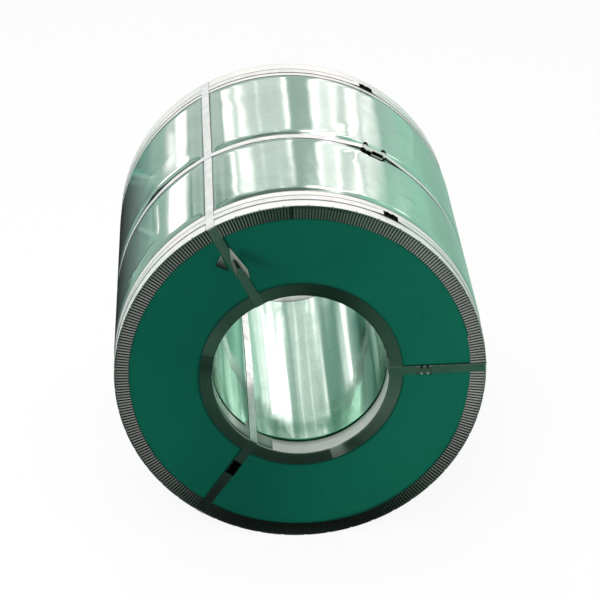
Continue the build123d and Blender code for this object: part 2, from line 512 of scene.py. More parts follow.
@dataclass(frozen=True)
class SheetFinish:
    """A metal sheet or strap: its colours, gloss, drawn lines and marks."""

    name: str
    slot: str
    pale: Colour
    deep: Colour
    gloss: tuple[float, float] = (0.2, 0.34)
    line_scale: float = 900.0
    line_length: float = 0.03
    line_height: float = 0.000004
    wave_height: float = 0.00003
    spangle_scale: float = 160.0
    spangle_share: float = 0.15
    grime_scale: float = 6.0
    grime_share: float = 0.12
    layout: Layout = Layout.SURFACE
    masked: bool = False
    scuffed: bool = False
    hazed: bool = False
    rim: Colour = WHITE

    def material(self, effects: Effects) -> bpy.types.Material:
        """The finish as a material.

        The colour runs from deep to pale by the spangle, the smudges and, where the piece has it, the
        tone mask. Smudges raise the roughness, white bloom on the zinc makes it less metallic where
        the haze mask says so, and the drawn lines and slow waves are a bump.

        Args:
            effects: The shared node groups.

        Returns:
            The material.
        """
        made, tree = new_material(self.name)
        shader = made.node_tree.nodes["Principled BSDF"]
        if self.layout is Layout.SURFACE:
            vector = tree.node("UVMap", uv_map="surface").outputs[0]
        else:
            vector = tree.node("TexCoord").outputs["Object"]
        lines = tree.use(effects.brush, vector, Scale=self.line_scale, Length=self.line_length)
        crystals = tree.use(effects.spangle, vector, Scale=self.spangle_scale)["Crystals"]
        grime = tree.use(effects.grime, vector, Scale=self.grime_scale)
        worn = tree.times(grime["Smudges"], self.grime_share)
        tone = tree.math("MULTIPLY_ADD", crystals, self.spangle_share, 1.0 - self.spangle_share)
        tone = tree.math("SUBTRACT", tone, worn, clamp=True)
        if self.masked:
            tone = tree.math("MULTIPLY", tone, tree.mask("tone"), clamp=True)
        tone = tree.math("SUBTRACT", tone, tree.times(grime["Specks"], 0.2), clamp=True)
        if self.scuffed:
            marks = tree.use(effects.scratches, vector, Amount=tree.mask("scuff"))["Marks"]
            tone = tree.math("SUBTRACT", tone, marks, clamp=True)
        tree.put(shader.inputs["Base Color"], tree.mix(tone, self.deep, self.pale))
        low, high = self.gloss
        rough = tree.math("MULTIPLY_ADD", lines["Streaks"], high - low, low)
        rough = tree.math("MULTIPLY_ADD", worn, 0.2, rough)
        shader.inputs["Metallic"].default_value = 1.0
        if self.hazed:
            haze = tree.mask("haze")
            tree.put(shader.inputs["Metallic"], tree.math("MULTIPLY_ADD", haze, -0.92, 1.0))
            rough = tree.math("MULTIPLY_ADD", haze, 0.15, rough)
        tree.put(shader.inputs["Roughness"], rough)
        shader.inputs["Specular Tint"].default_value = (*self.rim, 1.0)
        waves = tree.bump(lines["Waves"], self.wave_height)
        tree.put(shader.inputs["Normal"], tree.bump(lines["Lines"], self.line_height, Normal=waves))
        return made


@dataclass(frozen=True)
class BoardFinish:
    """The green end board: a matte fibre board with soft stains, specks, painted shadow lines and a painted
    flap shadow.
    """

    name: str = "green_end_board"
    slot: str = "green_board"
    pale: Colour = (0.0042, 0.112, 0.068)
    deep: Colour = (0.0010, 0.063, 0.041)
    speck: Colour = (0.002, 0.04, 0.028)
    strap_shadow: Colour = (0.001, 0.016, 0.011)
    flap_shadow: Colour = (0.001, 0.036, 0.024)
    ring_shadow: Colour = (0.002, 0.022, 0.016)
    strap_edges: tuple[tuple[str, float, float], ...] = (
        ("right", 0.0, 1.0), ("upper", -0.0045, -1.0), ("lower", 0.0055, -1.0),
    )

    def material(self, effects: Effects) -> bpy.types.Material:
        """The finish as a material.

        Broad noise mixes the two greens, specks darken small spots, painted shadow lines follow the straps
        and the rings, a painted shadow of the upper seal's flap lies beside it, and a fine noise is the
        board's tooth.

        Args:
            effects: The shared node groups.

        Returns:
            The material.
        """
        made, tree = new_material(self.name)
        shader = made.node_tree.nodes["Principled BSDF"]
        vector = tree.node("TexCoord").outputs["Object"]
        x, _, z = tree.axes(vector)
        grime = tree.use(effects.grime, vector, Scale=3.2)
        cloud = tree.noise(vector, 1.6, 4.0, 0.55)
        tone = tree.times(tree.step(cloud, 0.3, 0.7), 0.5)
        tone = tree.math("ADD", tone, tree.step(x, -0.15, 0.35, 0.0, 0.5))
        colour = tree.mix(tone, self.deep, self.pale)
        colour = tree.mix(tree.times(grime["Specks"], 0.35), colour, self.speck)
        # Painted shadow lines beside the straps on the face.
        for name, middle, side in self.strap_edges:
            turn = radians(EYE_ANGLES[name])
            shade = tree.use(effects.strap_shade, vector, Angle=turn, Middle=middle, Side=side)["Shade"]
            colour = tree.mix(tree.times(shade, 0.8), colour, self.strap_shadow)
        # Painted shadow of the upper seal's flap, a soft dark band beside it.
        flap_shadow = tree.use(effects.flap_shadow, vector)["Shade"]
        colour = tree.mix(tree.times(flap_shadow, 0.65), colour, self.flap_shadow)
        # Painted contact shadow along the inner flange's edge and along the fluted edge.
        rise = tree.math("SUBTRACT", z, AXIS_HEIGHT)
        radius = tree.math("SQRT", tree.math("MULTIPLY_ADD", rise, rise, tree.times(x, x)))
        inner = tree.step(radius, INNER_FLANGE_RADIUS + 0.001, INNER_FLANGE_RADIUS + 0.006, 0.75, 0.0)
        outer = tree.step(radius, FLUTE_INNER_RADIUS - 0.005, FLUTE_INNER_RADIUS - 0.001, 0.0, 0.6)
        colour = tree.mix(tree.math("MAXIMUM", inner, outer), colour, self.ring_shadow)
        tree.put(shader.inputs["Base Color"], colour)
        tree.put(shader.inputs["Roughness"], tree.math("MULTIPLY_ADD", grime["Smudges"], 0.12, 0.5))
        shader.inputs["Specular IOR Level"].default_value = 0.03
        tree.put(shader.inputs["Normal"], tree.bump(tree.noise(vector, 420.0, 3.0), 0.0001, 0.6))
        return made


class Finishes:
    """Every material of the coil, made once."""

    def __init__(self, effects: Effects) -> None:
        """Builds the materials by name.

        Args:
            effects: The shared node groups.
        """
        ring = {
            "slot": "plain_ring_steel", "deep": (0.04, 0.07, 0.052), "gloss": (0.14, 0.26),
            "wave_height": 0.00002, "masked": True, "hazed": True,
        }
        plans = (
            # The green of the wrap and the liner is partly painted reflection colour, tinted to give greenish
            # reflections.
            SheetFinish(
                "wrap_sheet", "galvanised_sheet", (0.40, 0.63, 0.51), (0.03, 0.10, 0.08),
                gloss=(0.06, 0.14), masked=True, scuffed=True, hazed=True,
            ),
            SheetFinish(
                "liner_sheet", "galvanised_sheet", (0.47, 0.72, 0.585), (0.015, 0.14, 0.105),
                gloss=(0.06, 0.15), wave_height=0.00006, masked=True, rim=(0.78, 0.86, 0.82),
            ),
            SheetFinish(
                "fluted_ring_sheet", "fluted_ring_steel", (0.88, 0.89, 0.84), (0.018, 0.038, 0.029),
                gloss=(0.18, 0.28), wave_height=0.00001, masked=True, hazed=True,
            ),
            SheetFinish("plain_ring_sheet", pale=(0.84, 0.87, 0.82), **ring),
            # The back ring's copy is greener, a painted reflection colour that offsets the pink of the tent's
            # panels.
            SheetFinish("back_ring_sheet", pale=(0.66, 0.87, 0.77), **ring),
            SheetFinish(
                "strap_zinc", "strap_steel", (0.85, 0.88, 0.86), (0.02, 0.03, 0.025),
                gloss=(0.12, 0.22), line_length=0.01, wave_height=0.00001,
                grime_scale=20.0, grime_share=0.2, masked=True, hazed=True,
            ),
            SheetFinish(
                "seal_dark_steel", "seal_steel", (0.72, 0.79, 0.71), (0.008, 0.008, 0.007),
                gloss=(0.2, 0.4), grime_scale=60.0, masked=True, hazed=True, rim=(0.3, 0.3, 0.3),
            ),
            SheetFinish(
                "coil_strip", "coil_steel", (0.55, 0.57, 0.56), (0.30, 0.33, 0.32), layout=Layout.OBJECT,
            ),
            BoardFinish(),
        )
        self.made = {plan.name: plan.material(effects) for plan in plans}
        self.slots = {plan.name: plan.slot for plan in plans}

    def dress(self, obj: bpy.types.Object, name: str, *nodes: str) -> None:
        """Gives a new piece its material and body, and hides the CAD nodes that it stands for.

        Args:
            obj: The new piece.
            name: Name of the finish.
            nodes: CAD nodes that the piece replaces.
        """
        obj.data.materials.clear()
        obj.data.materials.append(self.made[name])
        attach(obj, "root")
        if nodes:
            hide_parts(*nodes)
        LOG.info("%s: %d faces", obj.name, len(obj.data.polygons))

    def dress_node(self, node: str, name: str) -> None:
        """Gives a CAD node that stays in view its material.

        Args:
            node: Name of the node.
            name: Name of the finish.
        """
        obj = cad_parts[node]
        obj.data.materials.clear()
        obj.data.materials.append(self.made[name])
        LOG.info("%s keeps its solid", node)


def bay(along: Array, start: float, end: float, rise: float) -> Array:
    """1 between two places along the axis, falling smoothly to 0 at both within the rise."""
    return ramp(start, start + rise, along) * (1.0 - ramp(end - rise, end, along))


def beside_straps(theta: Array, radius: float) -> list[Array]:
    """Angles in degrees from the edge of each strap through the eye, at a radius."""
    reach = np.degrees(STRAP_WIDTH / 2.0 / radius)
    return [np.abs(turn_from(theta, angle)) - reach for angle in EYE_ANGLES.values()]


def free_of_straps(theta: Array, reach: float) -> Array:
    """0 under each strap through the eye, rising to 1 at a reach from it.

    Args:
        theta: Angles in degrees.
        reach: Angle from a strap's middle, in degrees.

    Returns:
        Array of factors.
    """
    free = np.ones_like(theta)
    for angle in EYE_ANGLES.values():
        free = free * ramp(1.6, reach, np.abs(turn_from(theta, angle)))
    return free


@dataclass(frozen=True)
class Fold:
    """A crease in the sheet: a ridge along a line from one angle and place to another."""

    start: tuple[float, float]
    end: tuple[float, float]
    height: float
    width: float
    bloom: float = 0.0

    def heights(self, theta: Array, along: Array, radius: float) -> Array:
        """Height of the ridge: a bell of the distance to the line, falling off at the line's ends.

        Args:
            theta: Angles in degrees.
            along: Places along the axis.
            radius: Radius of the sheet, to turn angles into lengths.

        Returns:
            Array of heights.
        """
        scale = radians(1.0) * radius
        run = np.array([turn_from(np.array(self.end[0]), self.start[0]) * scale, self.end[1] - self.start[1]])
        x, y = turn_from(theta, self.start[0]) * scale, along - self.start[1]
        length = np.hypot(*run)
        share = (x * run[0] + y * run[1]) / length**2
        away = (x * run[1] - y * run[0]) / length
        return self.height * hump(away, 0.0, self.width) * bay(share, -0.08, 1.08, 0.3)

    def pale(self, theta: Array, along: Array, radius: float) -> Array:
        """Whitened zinc on the ridge: the bloom where the ridge is above about half its height."""
        return self.bloom * ramp(0.35, 0.9, self.heights(theta, along, radius) / self.height)


def fine_lines(uniform: Array, edges: tuple[float, ...], offsets: tuple[float, ...]) -> Array:
    """Grid lines at even steps with extra lines on both sides of some edges."""
    extra = [edge + sign * offset for edge in edges for offset in offsets for sign in (-1.0, 1.0)]
    return np.unique(np.concatenate([uniform, extra]))


@dataclass
class OuterWrap:
    """The sheet around the coil: slack between the straps, pinched by them, and dented."""

    around: int = 540
    along: int = 120
    slack: float = 0.0032
    folds: tuple[Fold, ...] = (
        Fold((156.0, 0.42), (139.6, 0.07), 0.0034, 0.009, 0.45),
        Fold((158.0, 0.40), (142.5, 0.10), 0.0022, 0.018, 0.22),
        Fold((150.6, -0.09), (138.6, -0.36), 0.0024, 0.008, 0.4),
        Fold((138.4, -0.375), (155.0, -0.415), 0.0026, 0.008, 0.45),
        Fold((157.0, -0.36), (146.0, -0.44), 0.0022, 0.008, 0.35),
        Fold((139.8, -0.09), (138.6, -0.36), 0.0016, 0.009, 0.25),
        Fold((29.5, -0.41), (18.5, -0.10), 0.0014, 0.011, 0.4),
        Fold((52.0, -0.37), (50.5, -0.12), 0.0009, 0.013),
        Fold((42.0, 0.41), (48.0, 0.02), 0.0013, 0.014, 0.3),
        Fold((141.5, 0.16), (139.5, -0.03), 0.0016, 0.050),
        Fold((70.5, -0.010), (72.5, 0.090), 0.0006, 0.012),
        Fold((70.0, -0.012), (80.0, 0.006), 0.0006, 0.012),
        Fold((70.6, -0.090), (76.0, -0.125), 0.0006, 0.012),
        Fold((69.6, -0.100), (71.0, -0.190), 0.0006, 0.012),
        Fold((109.5, -0.50), (109.5, 0.0), 0.0008, 0.022),
        Fold((69.8, -0.50), (69.8, 0.0), 0.0007, 0.020),
    )

    def heights(self, theta: Array, along: Array) -> Array:
        """How far the sheet stands off the coil.

        Formula: slack times a bay window on each side of the middle strap, plus ripples around the
        axis, the folds, and a buckle behind the middle strap on the left flank, all times factors
        that are 0 under the straps and on the floor.

        Args:
            theta: Angles in degrees.
            along: Places along the axis.

        Returns:
            Array of heights, never below 0.
        """
        edge, end, rise = STRAP_WIDTH / 2.0 + 0.0006, 0.455, 0.030
        loose = bay(along, -end, MIDDLE_GIRTH - edge, rise) + bay(along, MIDDLE_GIRTH + edge, end, rise)
        lift = ramp(26.0, 60.0, np.abs(turn_from(theta, FLOOR_ANGLE)))
        uneven = 1.0 + 0.3 * np.sin(np.radians(3.0 * theta) + 0.8)
        height = loose * self.slack * uneven + loose * ripple(theta, (23, 31, 44, 61), 0.00005, 4)
        sway = theta + 9.0 * np.sin(along * 9.0)
        height = height + loose * ripple(sway, (17, 29, 37), 0.00005, 9)
        for fold in self.folds:
            height = height + fold.heights(theta, along, WRAP_RADIUS)
        behind = np.maximum(along - (MIDDLE_GIRTH + edge), 0.0)
        buckle = ramp(118.0, 124.0, theta) * (1.0 - ramp(150.0, 164.0, theta))
        height = height + 0.0030 * buckle * ramp(0.0, 0.010, behind) * np.exp(-behind / 0.03)
        spike = hump(turn_from(theta, 139.6), 0.0, 3.2) * ramp(0.0, 0.008, behind) * np.exp(-behind / 0.035)
        height = height + 0.0050 * spike
        return np.maximum(height, 0.0) * lift * free_of_straps(theta, 6.0)

    @staticmethod
    def tone(theta: Array, along: Array) -> Array:
        """Paleness of the sheet: painted shade, partly dirt, along the straps and rings, a painted shadow
        under the middle strap beside its seal, and painted shade on the left flank.

        Args:
            theta: Angles in degrees.
            along: Places along the axis.

        Returns:
            Array of values up to 1.
        """
        tone = np.ones(np.broadcast(theta, along).shape)
        # Painted shade, with some dirt, along the edges of the straps and rings.
        for beside in beside_straps(theta, WRAP_RADIUS):
            tone = tone * (1.0 - 0.8 * (1.0 - ramp(0.26, 0.46, beside)))
        beside = np.abs(along - MIDDLE_GIRTH) - STRAP_WIDTH / 2.0
        tone = tone * (1.0 - 0.8 * (1.0 - ramp(0.0035, 0.0070, beside)))
        inside = RING_EDGE - np.abs(along)
        tone = tone * (1.0 - 0.7 * (1.0 - ramp(0.0030, 0.0060, inside)))
        # Painted shadow in the gap under the middle strap, beside its seal.
        under = (1.0 - ramp(0.0005, 0.0020, beside)) * bay(theta, 53.5, 67.5, 0.8)
        tone = tone * (1.0 - 0.9 * under)
        # Painted shade on the left flank, deeper towards the back.
        left = ramp(148.0, 172.0, theta) * (1.0 - ramp(200.0, 230.0, theta))
        return tone * (1.0 - (0.25 + 0.4 * ramp(-0.1, 0.1, along)) * left)

    def build(self, finishes: Finishes) -> None:
        """Builds the sheet as a grid around and along the coil: radius = wrap radius + height.

        Args:
            finishes: The materials.
        """
        turns = np.linspace(SEAM_ANGLE, SEAM_ANGLE + 360.0, self.around, endpoint=False)
        turns = fine_lines(turns, tuple(EYE_ANGLES.values()), (1.3, 1.5, 1.72, 2.2))
        half = STRAP_WIDTH / 2.0
        edges = (MIDDLE_GIRTH - half, MIDDLE_GIRTH + half, -RING_EDGE, RING_EDGE)
        places = np.linspace(-DISC_FACE, DISC_FACE, self.along)
        places = fine_lines(places, edges, (0.0004, 0.0030, 0.0050, 0.0075))
        theta, along = np.meshgrid(turns, places[::-1], indexing="ij")
        points = turned(theta, WRAP_RADIUS + self.heights(theta, along), along)
        arc = np.radians(np.append(turns, turns[0] + 360.0) - SEAM_ANGLE) * WRAP_RADIUS
        spread = uv_grid(arc, along[0])
        scuff = 0.6 * (1.0 - ramp(52.0, 66.0, theta)) * ramp(-30.0, 4.0, theta) + 0.05
        haze = np.sum([fold.pale(theta, along, WRAP_RADIUS) for fold in self.folds], axis=0)
        masks = {"tone": self.tone(theta, along), "scuff": scuff, "haze": np.clip(haze, 0.0, 0.8)}
        obj = grid_object("wrap_sheet", points, spread, around=True, masks=masks)
        finishes.dress(obj, "wrap_sheet", "outer_wrap")


@dataclass
class BoreLiner:
    """The sheet inside the bore, slightly uneven, with a crease on the right and darker flanks near the
    front.
    """

    around: int = 420
    along: int = 90
    folds: tuple[Fold, ...] = (
        Fold((318.0, -0.26), (330.0, 0.02), 0.0003, 0.010),
        Fold((312.0, -0.40), (318.0, -0.26), 0.0004, 0.012),
    )

    def build(self, finishes: Finishes) -> None:
        """Builds the liner as a grid: radius = liner radius - a small uneven height.

        The height is a few ripples around the axis inside a bay window, the folds, and a lip that rises
        as a square towards the front ring.

        Args:
            finishes: The materials.
        """
        turns = np.linspace(90.0, -270.0, self.around, endpoint=False)
        places = np.linspace(-DISC_FACE, DISC_FACE, self.along)
        places = fine_lines(places, (-0.476,), (0.002, 0.005, 0.008, 0.011))
        theta, along = np.meshgrid(turns, places[::-1], indexing="ij")
        inside = free_of_straps(theta, 8.0)
        height = 0.0006 + ripple(theta, (9, 14, 22, 34), 0.00006, 21)
        height = height + ripple(theta + 6.0 * along, (41, 53), 0.00003, 5)
        lip = 0.095 * np.minimum(along + 0.30, 0.0) ** 2 * ramp(-0.487, -0.476, along)
        height = height * bay(along, -0.45, 0.43, 0.10) + lip
        for fold in self.folds:
            height = height + fold.heights(theta, along, LINER_RADIUS)
        points = turned(theta, LINER_RADIUS - np.maximum(height, 0.0) * inside, along)
        spread = uv_grid(turn_arc(self.around, LINER_RADIUS), along[0])
        below = theta % 360.0
        # Darker flanks towards the front, the right one most.
        left = 0.12 * (1.0 - ramp(206.0, 218.0, below)) + 0.24 * (1.0 - ramp(222.0, 228.0, below))
        flanks = 0.60 * ramp(314.0, 324.0, below) + left * (below > 120.0)
        # A painted shade line beside the lower strap's edge.
        tone = 0.95 - 0.6 * hump(below, 232.6, 2.6) - flanks * (1.0 - ramp(0.08, 0.22, along))
        # Painted shade along the edge of the front ring's bore leg.
        tone = tone * (1.0 - 0.6 * hump(along, -0.4835, 0.004) * ramp(250.0, 252.0, below))
        masks = {"tone": np.clip(tone, 0.0, 1.0)}
        obj = grid_object("liner_sheet", points, spread, around=True, masks=masks)
        finishes.dress(obj, "liner_sheet", "bore_liner")


class End(Enum):
    """The two ends of the coil, as the sign of Y."""

    FRONT = -1.0
    BACK = 1.0


@dataclass(frozen=True)
class Profile:
    """A section turned around the axis at one end of the coil, with the masks of its points."""

    end: End
    theta: Array
    radius: Array
    along: Array
    masks: dict[str, Array]

    def piece(self, name: str, arc_radius: float, crease: float) -> bpy.types.Object:
        """The turned section as a mesh, its columns turned round at the back to face outwards.

        Args:
            name: Name of the object.
            arc_radius: Radius at which its UV map is in metres.
            crease: Angle in degrees from which an edge is sharp.

        Returns:
            The object.
        """
        points = turned(self.theta, self.radius, self.end.value * self.along)
        run = running(np.hypot(np.diff(self.radius[0]), np.diff(self.along[0])))
        spread = uv_grid(turn_arc(len(self.theta), arc_radius), run)
        order = slice(None, None, -1 if self.end is End.BACK else 1)
        masks = {label: mask[:, order] for label, mask in self.masks.items()}
        return grid_object(name, points[:, order], spread[:, order], around=True, masks=masks, crease=crease)


@dataclass
class FlutedRing:
    """An outer edge ring: a plain leg over the wrap and a leg gathered into flutes on the face."""

    end: End
    girth: float
    flutes: int = 367
    samples: int = 4
    leg: float = RING_LEG
    depth: float = 0.0016
    corner: float = 0.0016
    lap_angle: float = 92.6
    pinch_step: float = 7.35

    def fluted_edge(self, theta: Array) -> Array:
        """Radius of the fluted edge: nearly even, drawn in at the bottom right and let out at the right.

        Args:
            theta: Angles in degrees.

        Returns:
            Array of radii.
        """
        bottom = 0.0042 * hump(turn_from(theta, 300.0), 0.0, 26.0)
        turn = turn_from(theta, 0.0)
        right = 0.0050 * ramp(-34.0, -4.0, turn) * (1.0 - ramp(13.2, 13.9, turn))
        return FLUTE_INNER_RADIUS + bottom - right + 0.0007 * np.sin(np.radians(9.0 * theta))

    def leg_rows(self) -> tuple[Array, Array]:
        """Rows of the leg from its edge to the corner.

        Returns:
            The rows' places along the axis, and how pale each one is.
        """
        start, half = DISC_FACE - self.leg, STRAP_WIDTH / 2.0
        low, high = self.girth - half, self.girth + half
        # Dark rows at the leg's edge and beside the girth strap: painted shade in the gaps, with some dirt.
        rows = [
            (start, 0.1), (start, 0.2), (start + 0.0028, 0.25), (start + 0.0045, 1.0), (low - 0.0075, 1.0),
            (low - 0.0055, 0.15), (low, 0.15), (high, 0.15), (high + 0.0055, 0.15), (high + 0.0075, 1.0),
            (DISC_FACE - 0.0035, 1.0),
        ]
        return np.array([row[0] for row in rows]), np.array([row[1] for row in rows])

    def build(self, finishes: Finishes) -> None:
        """Builds the ring as a profile turned around the axis.

        Formula: the profile runs from the leg's edge to the rounded corner and in along the face to
        the fluted edge, then back to the board. On the face the height is the sheet plus the depth
        times a triangle wave of the angle. The corner is pinched in every few degrees.

        Args:
            finishes: The materials.
        """
        count = self.flutes * self.samples
        theta = SEAM_ANGLE + np.arange(count)[:, None] * 360.0 / count
        cycle = (np.arange(count)[:, None] / self.samples) % 1.0
        wave = 1.0 - np.abs(2.0 * cycle - 1.0)
        wave = 0.5 + 0.5 * np.sin((wave - 0.5) * np.pi)
        lap = turn_from(theta, self.lap_angle)
        slack = 1.0 - 0.45 * ramp(-19.0, -14.0, lap) * (1.0 - ramp(-0.2, 0.2, lap))
        overlap = 0.0004 * ramp(-0.12, 0.12, lap) * (1.0 - ramp(14.0, 30.0, lap))
        edge = self.fluted_edge(theta)
        spot = turn_from(theta, 124.0) % self.pinch_step
        pinch = hump(spot, 0.5, 0.34) * (1.0 if self.end is End.FRONT else 0.3)
        low, high = DISC_FACE + RING_SHEET, FLUTE_FACE
        turn = np.radians(np.linspace(0.0, 90.0, 4))[None, :]
        bend_r = OUTER_RING_RADIUS - self.corner * (1.0 - np.cos(turn)) - 0.0026 * pinch * np.sin(turn + 0.3)
        bend_y = high - 0.0003 - self.corner * (1.0 - np.sin(turn)) - 0.0012 * pinch
        inward = np.array([[0.04, 0.10, 0.3, 0.55, 0.8, 1.0]])
        start = OUTER_RING_RADIUS - self.corner
        face_r = start + (edge - start) * inward
        rise = ramp(0.0, 0.10, inward)
        crest = high - 0.0003 - low
        face_y = low + crest * (1.0 - rise) + rise * self.depth * wave * slack + overlap
        leg_y, leg_tone = self.leg_rows()
        leg_r = np.where(np.arange(len(leg_y)) == 0, WRAP_RADIUS, OUTER_RING_RADIUS)
        radius = np.hstack([np.tile(leg_r, (count, 1)), bend_r + 0.0 * theta, face_r, edge])
        board = np.full((count, 1), DISC_FACE)
        along = np.hstack([np.tile(leg_y, (count, 1)), bend_y + 0.0 * theta, face_y, board])
        # Painted light and shade on the face: the flutes lighter around 50 and 350 degrees, where light falls
        # on them, and the grooves painted dark as shade.
        bright = 0.62 + 0.2 * hump(turn_from(theta, 50.0), 0.0, 16.0)
        bright = bright + 0.2 * hump(turn_from(theta, 350.0), 0.0, 14.0)
        flute_shading = (1.0 - 0.95 * rise * (1.0 - ramp(0.15, 0.75, wave))) * (1.0 + (bright - 1.0) * rise)
        # Painted shade on the back ring's bend, lightest near the top, and in the pinches of the corner.
        rim = 0.4 + 0.55 * ramp(22.0, 40.0, np.abs(turn_from(theta, 84.0)))
        rim = rim * (self.end is End.BACK)
        bend_shade = np.tile((1.0 - 0.85 * pinch) * (1.0 - rim), (1, 4))
        tone = np.hstack([np.tile(leg_tone, (count, 1)), bend_shade, flute_shading, np.full((count, 1), 0.1)])
        crests = 0.24 * hump(turn_from(theta, 18.0), 0.0, 34.0) * wave
        haze = np.where(np.arange(tone.shape[1]) < len(leg_y) + 2, 1.0, crests)
        # Painted shade, with some dirt, beside the straps through the eye.
        for beside in beside_straps(theta, OUTER_RING_RADIUS):
            tone = tone * (1.0 - 0.7 * ramp(-0.1, 0.05, beside) * (1.0 - ramp(0.1, 0.3, beside)))
        tone = tone * (1.0 - 0.85 * hump(lap, 0.25, 0.3) * (np.arange(tone.shape[1]) > len(leg_y) + 2))
        name = self.end.name.lower()
        profile = Profile(self.end, theta, radius, along, {"tone": tone, "haze": haze})
        obj = profile.piece(f"{name}_fluted_ring", OUTER_RING_RADIUS, 24.0)
        finishes.dress(obj, "fluted_ring_sheet", f"{name}_outer_edge_ring")


@dataclass
class PlainRing:
    """An inner edge ring: a plain leg on the face and a leg folded into the bore, in lapped lengths."""

    end: End
    bore_leg: float
    long_leg: float
    around: int = 1080

    def build(self, finishes: Finishes) -> None:
        """Builds the ring as a profile turned around the axis.

        Formula: from the flange's outer edge along the face to the rounded mouth and into the bore,
        with the flange's edge and the bore leg's length stepping where one length laps the next.

        Args:
            finishes: The materials.
        """
        count = self.around
        theta = np.linspace(90.0, 450.0, count, endpoint=False)[:, None] % 360.0
        upper = ramp(138.0, 160.0, theta) * (1.0 - ramp(165.4, 165.8, theta))
        patch = ramp(288.0, 290.0, theta) * (1.0 - ramp(294.0, 301.0, theta))
        left = ramp(165.4, 165.8, theta) * (1.0 - ramp(247.8, 248.2, theta))
        deep_left = ramp(150.0, 150.6, theta) * (1.0 - ramp(251.2, 251.6, theta))
        flange = INNER_FLANGE_RADIUS - 0.001 + 0.0014 * np.sin(np.radians(2.0 * theta) + 0.6) - 0.003 * left
        leg = self.bore_leg + (self.long_leg - self.bore_leg) * deep_left
        mouth = 0.0022
        turn = np.radians(np.linspace(0.0, 90.0, 5))[None, :]
        out = np.linspace(1.0, 0.0, 5)[None, :-1]
        face = DISC_FACE + RING_SHEET + 0.0004 * upper
        tilt = 0.0010 * upper + 0.0030 * patch
        face_y = face + tilt * np.sin(np.pi * out) * 0.5 + 0.0 * theta
        mouth_r = INNER_RING_RADIUS + mouth * (1.0 - np.sin(turn)) + 0.0 * theta
        mouth_y = face - mouth * (1.0 - np.cos(turn))
        face_r = INNER_RING_RADIUS + mouth + (flange - INNER_RING_RADIUS - mouth) * out
        deep = np.array([[0.25, 0.6, 0.97, 1.0]])
        leg_y = (face - mouth) + (DISC_FACE - leg - face + mouth) * deep
        leg_r = np.tile([4 * [INNER_RING_RADIUS] + [LINER_RADIUS]], (count, 1))
        radius = np.hstack([flange, face_r, mouth_r, leg_r])
        along = np.hstack([np.full((count, 1), DISC_FACE), face_y, mouth_y, leg_y, leg_y[:, -1:]])
        front = self.end is End.FRONT
        column = np.arange(radius.shape[1])[None, :]
        # The upper length, tilted up, is painted lighter where light falls on it.
        tone = 0.72 + 0.28 * upper + 0.38 * patch
        tone = tone - 0.35 * hump(theta, 172.0, 7.0) - 0.2 * hump(theta, 305.0, 3.0)
        tone = tone - 0.55 * hump(theta, 74.0, 32.0) + 0.2 * hump(turn_from(theta, 345.0), 0.0, 25.0)
        tone = np.where(column > 8, np.where(deep_left > 0.5, 0.42, 1.0 if front else 0.8), tone)
        # Painted shade lines at the bore leg's edge and at the flange's outer edge, where they stand off.
        for edge, share in ((12, 0.4), (13, 0.2), (0, 0.3)):
            tone = tone * np.where(column == edge, share, 1.0)
        worn = 0.12 * patch + 0.04 * hump(turn_from(theta, 332.0), 0.0, 24.0)
        haze = np.where(column > 8, np.where(deep_left > 0.5, 0.0, 0.9), worn) * front
        masks = {"tone": np.clip(tone, 0.0, 1.0), "haze": haze}
        name = self.end.name.lower()
        profile = Profile(self.end, theta, radius, along, masks)
        obj = profile.piece(f"{name}_bore_ring", INNER_FLANGE_RADIUS, 35.0)
        finish = "plain_ring_sheet" if front else "back_ring_sheet"
        finishes.dress(obj, finish, f"{name}_inner_edge_ring")


@dataclass
class Tent:
    """A flat that a taut strap is raised over: its angle, half length and lift."""

    angle: float
    half: float
    lift: float

    def radius(self, theta: Array, base: float) -> Array:
        """Radius of the raised strap: the flat's line, then the tangent down to the round.

        Args:
            theta: Angles in degrees.
            base: Radius of the round under the strap.

        Returns:
            Array of radii, the base radius away from the flat.
        """
        top = base + self.lift
        turn = np.degrees(np.arctan2(self.half, top))
        reach = turn + np.degrees(np.arccos(base / np.hypot(top, self.half)))
        away = np.abs(turn_from(theta, self.angle))
        flat = top / np.cos(np.radians(np.minimum(away, turn)))
        slope = base / np.cos(np.radians(np.clip(reach - away, 0.0, 60.0)))
        return np.where(away <= turn, flat, np.where(away <= reach, slope, base))


@dataclass
class GirthStrap:
    """A strap around the coil, raised over its seal and over the straps that it crosses."""

    name: str
    place: float
    base: float
    tents: list[Tent]
    around: int = 1080

    def build(self, finishes: Finishes) -> None:
        """Builds the strap as its outline carried round: the radius is the highest of the tents.

        Args:
            finishes: The materials.
        """
        theta = np.linspace(SEAM_ANGLE, SEAM_ANGLE + 360.0, self.around, endpoint=False)
        radius = np.max([tent.radius(theta, self.base) for tent in self.tents], axis=0)
        path = turned(theta, radius, np.full_like(theta, self.place))
        side = np.broadcast_to(np.array([0.0, -1.0, 0.0]), path.shape)
        out = np.cross(headings(path), side)
        out = out * np.sign(np.sum(out * (path - [0.0, self.place, AXIS_HEIGHT]), axis=1, keepdims=True))
        obj = strap_object(f"{self.name}_girth_band", path, side, out, np.array([[0.85]]))
        finishes.dress(obj, "strap_zinc", f"{self.name}_girth_strap")


@dataclass(frozen=True)
class Frame:
    """A place on the coil with its three directions: along a strap, across it and away from the coil."""

    origin: Array
    ahead: Array
    side: Array
    out: Array

    def points(self, ahead: Array, side: Array, out: Array) -> Array:
        """Points from distances along the three directions."""
        ahead, side, out = (part[..., None] for part in np.broadcast_arrays(ahead, side, out))
        return self.origin + ahead * self.ahead + side * self.side + out * self.out


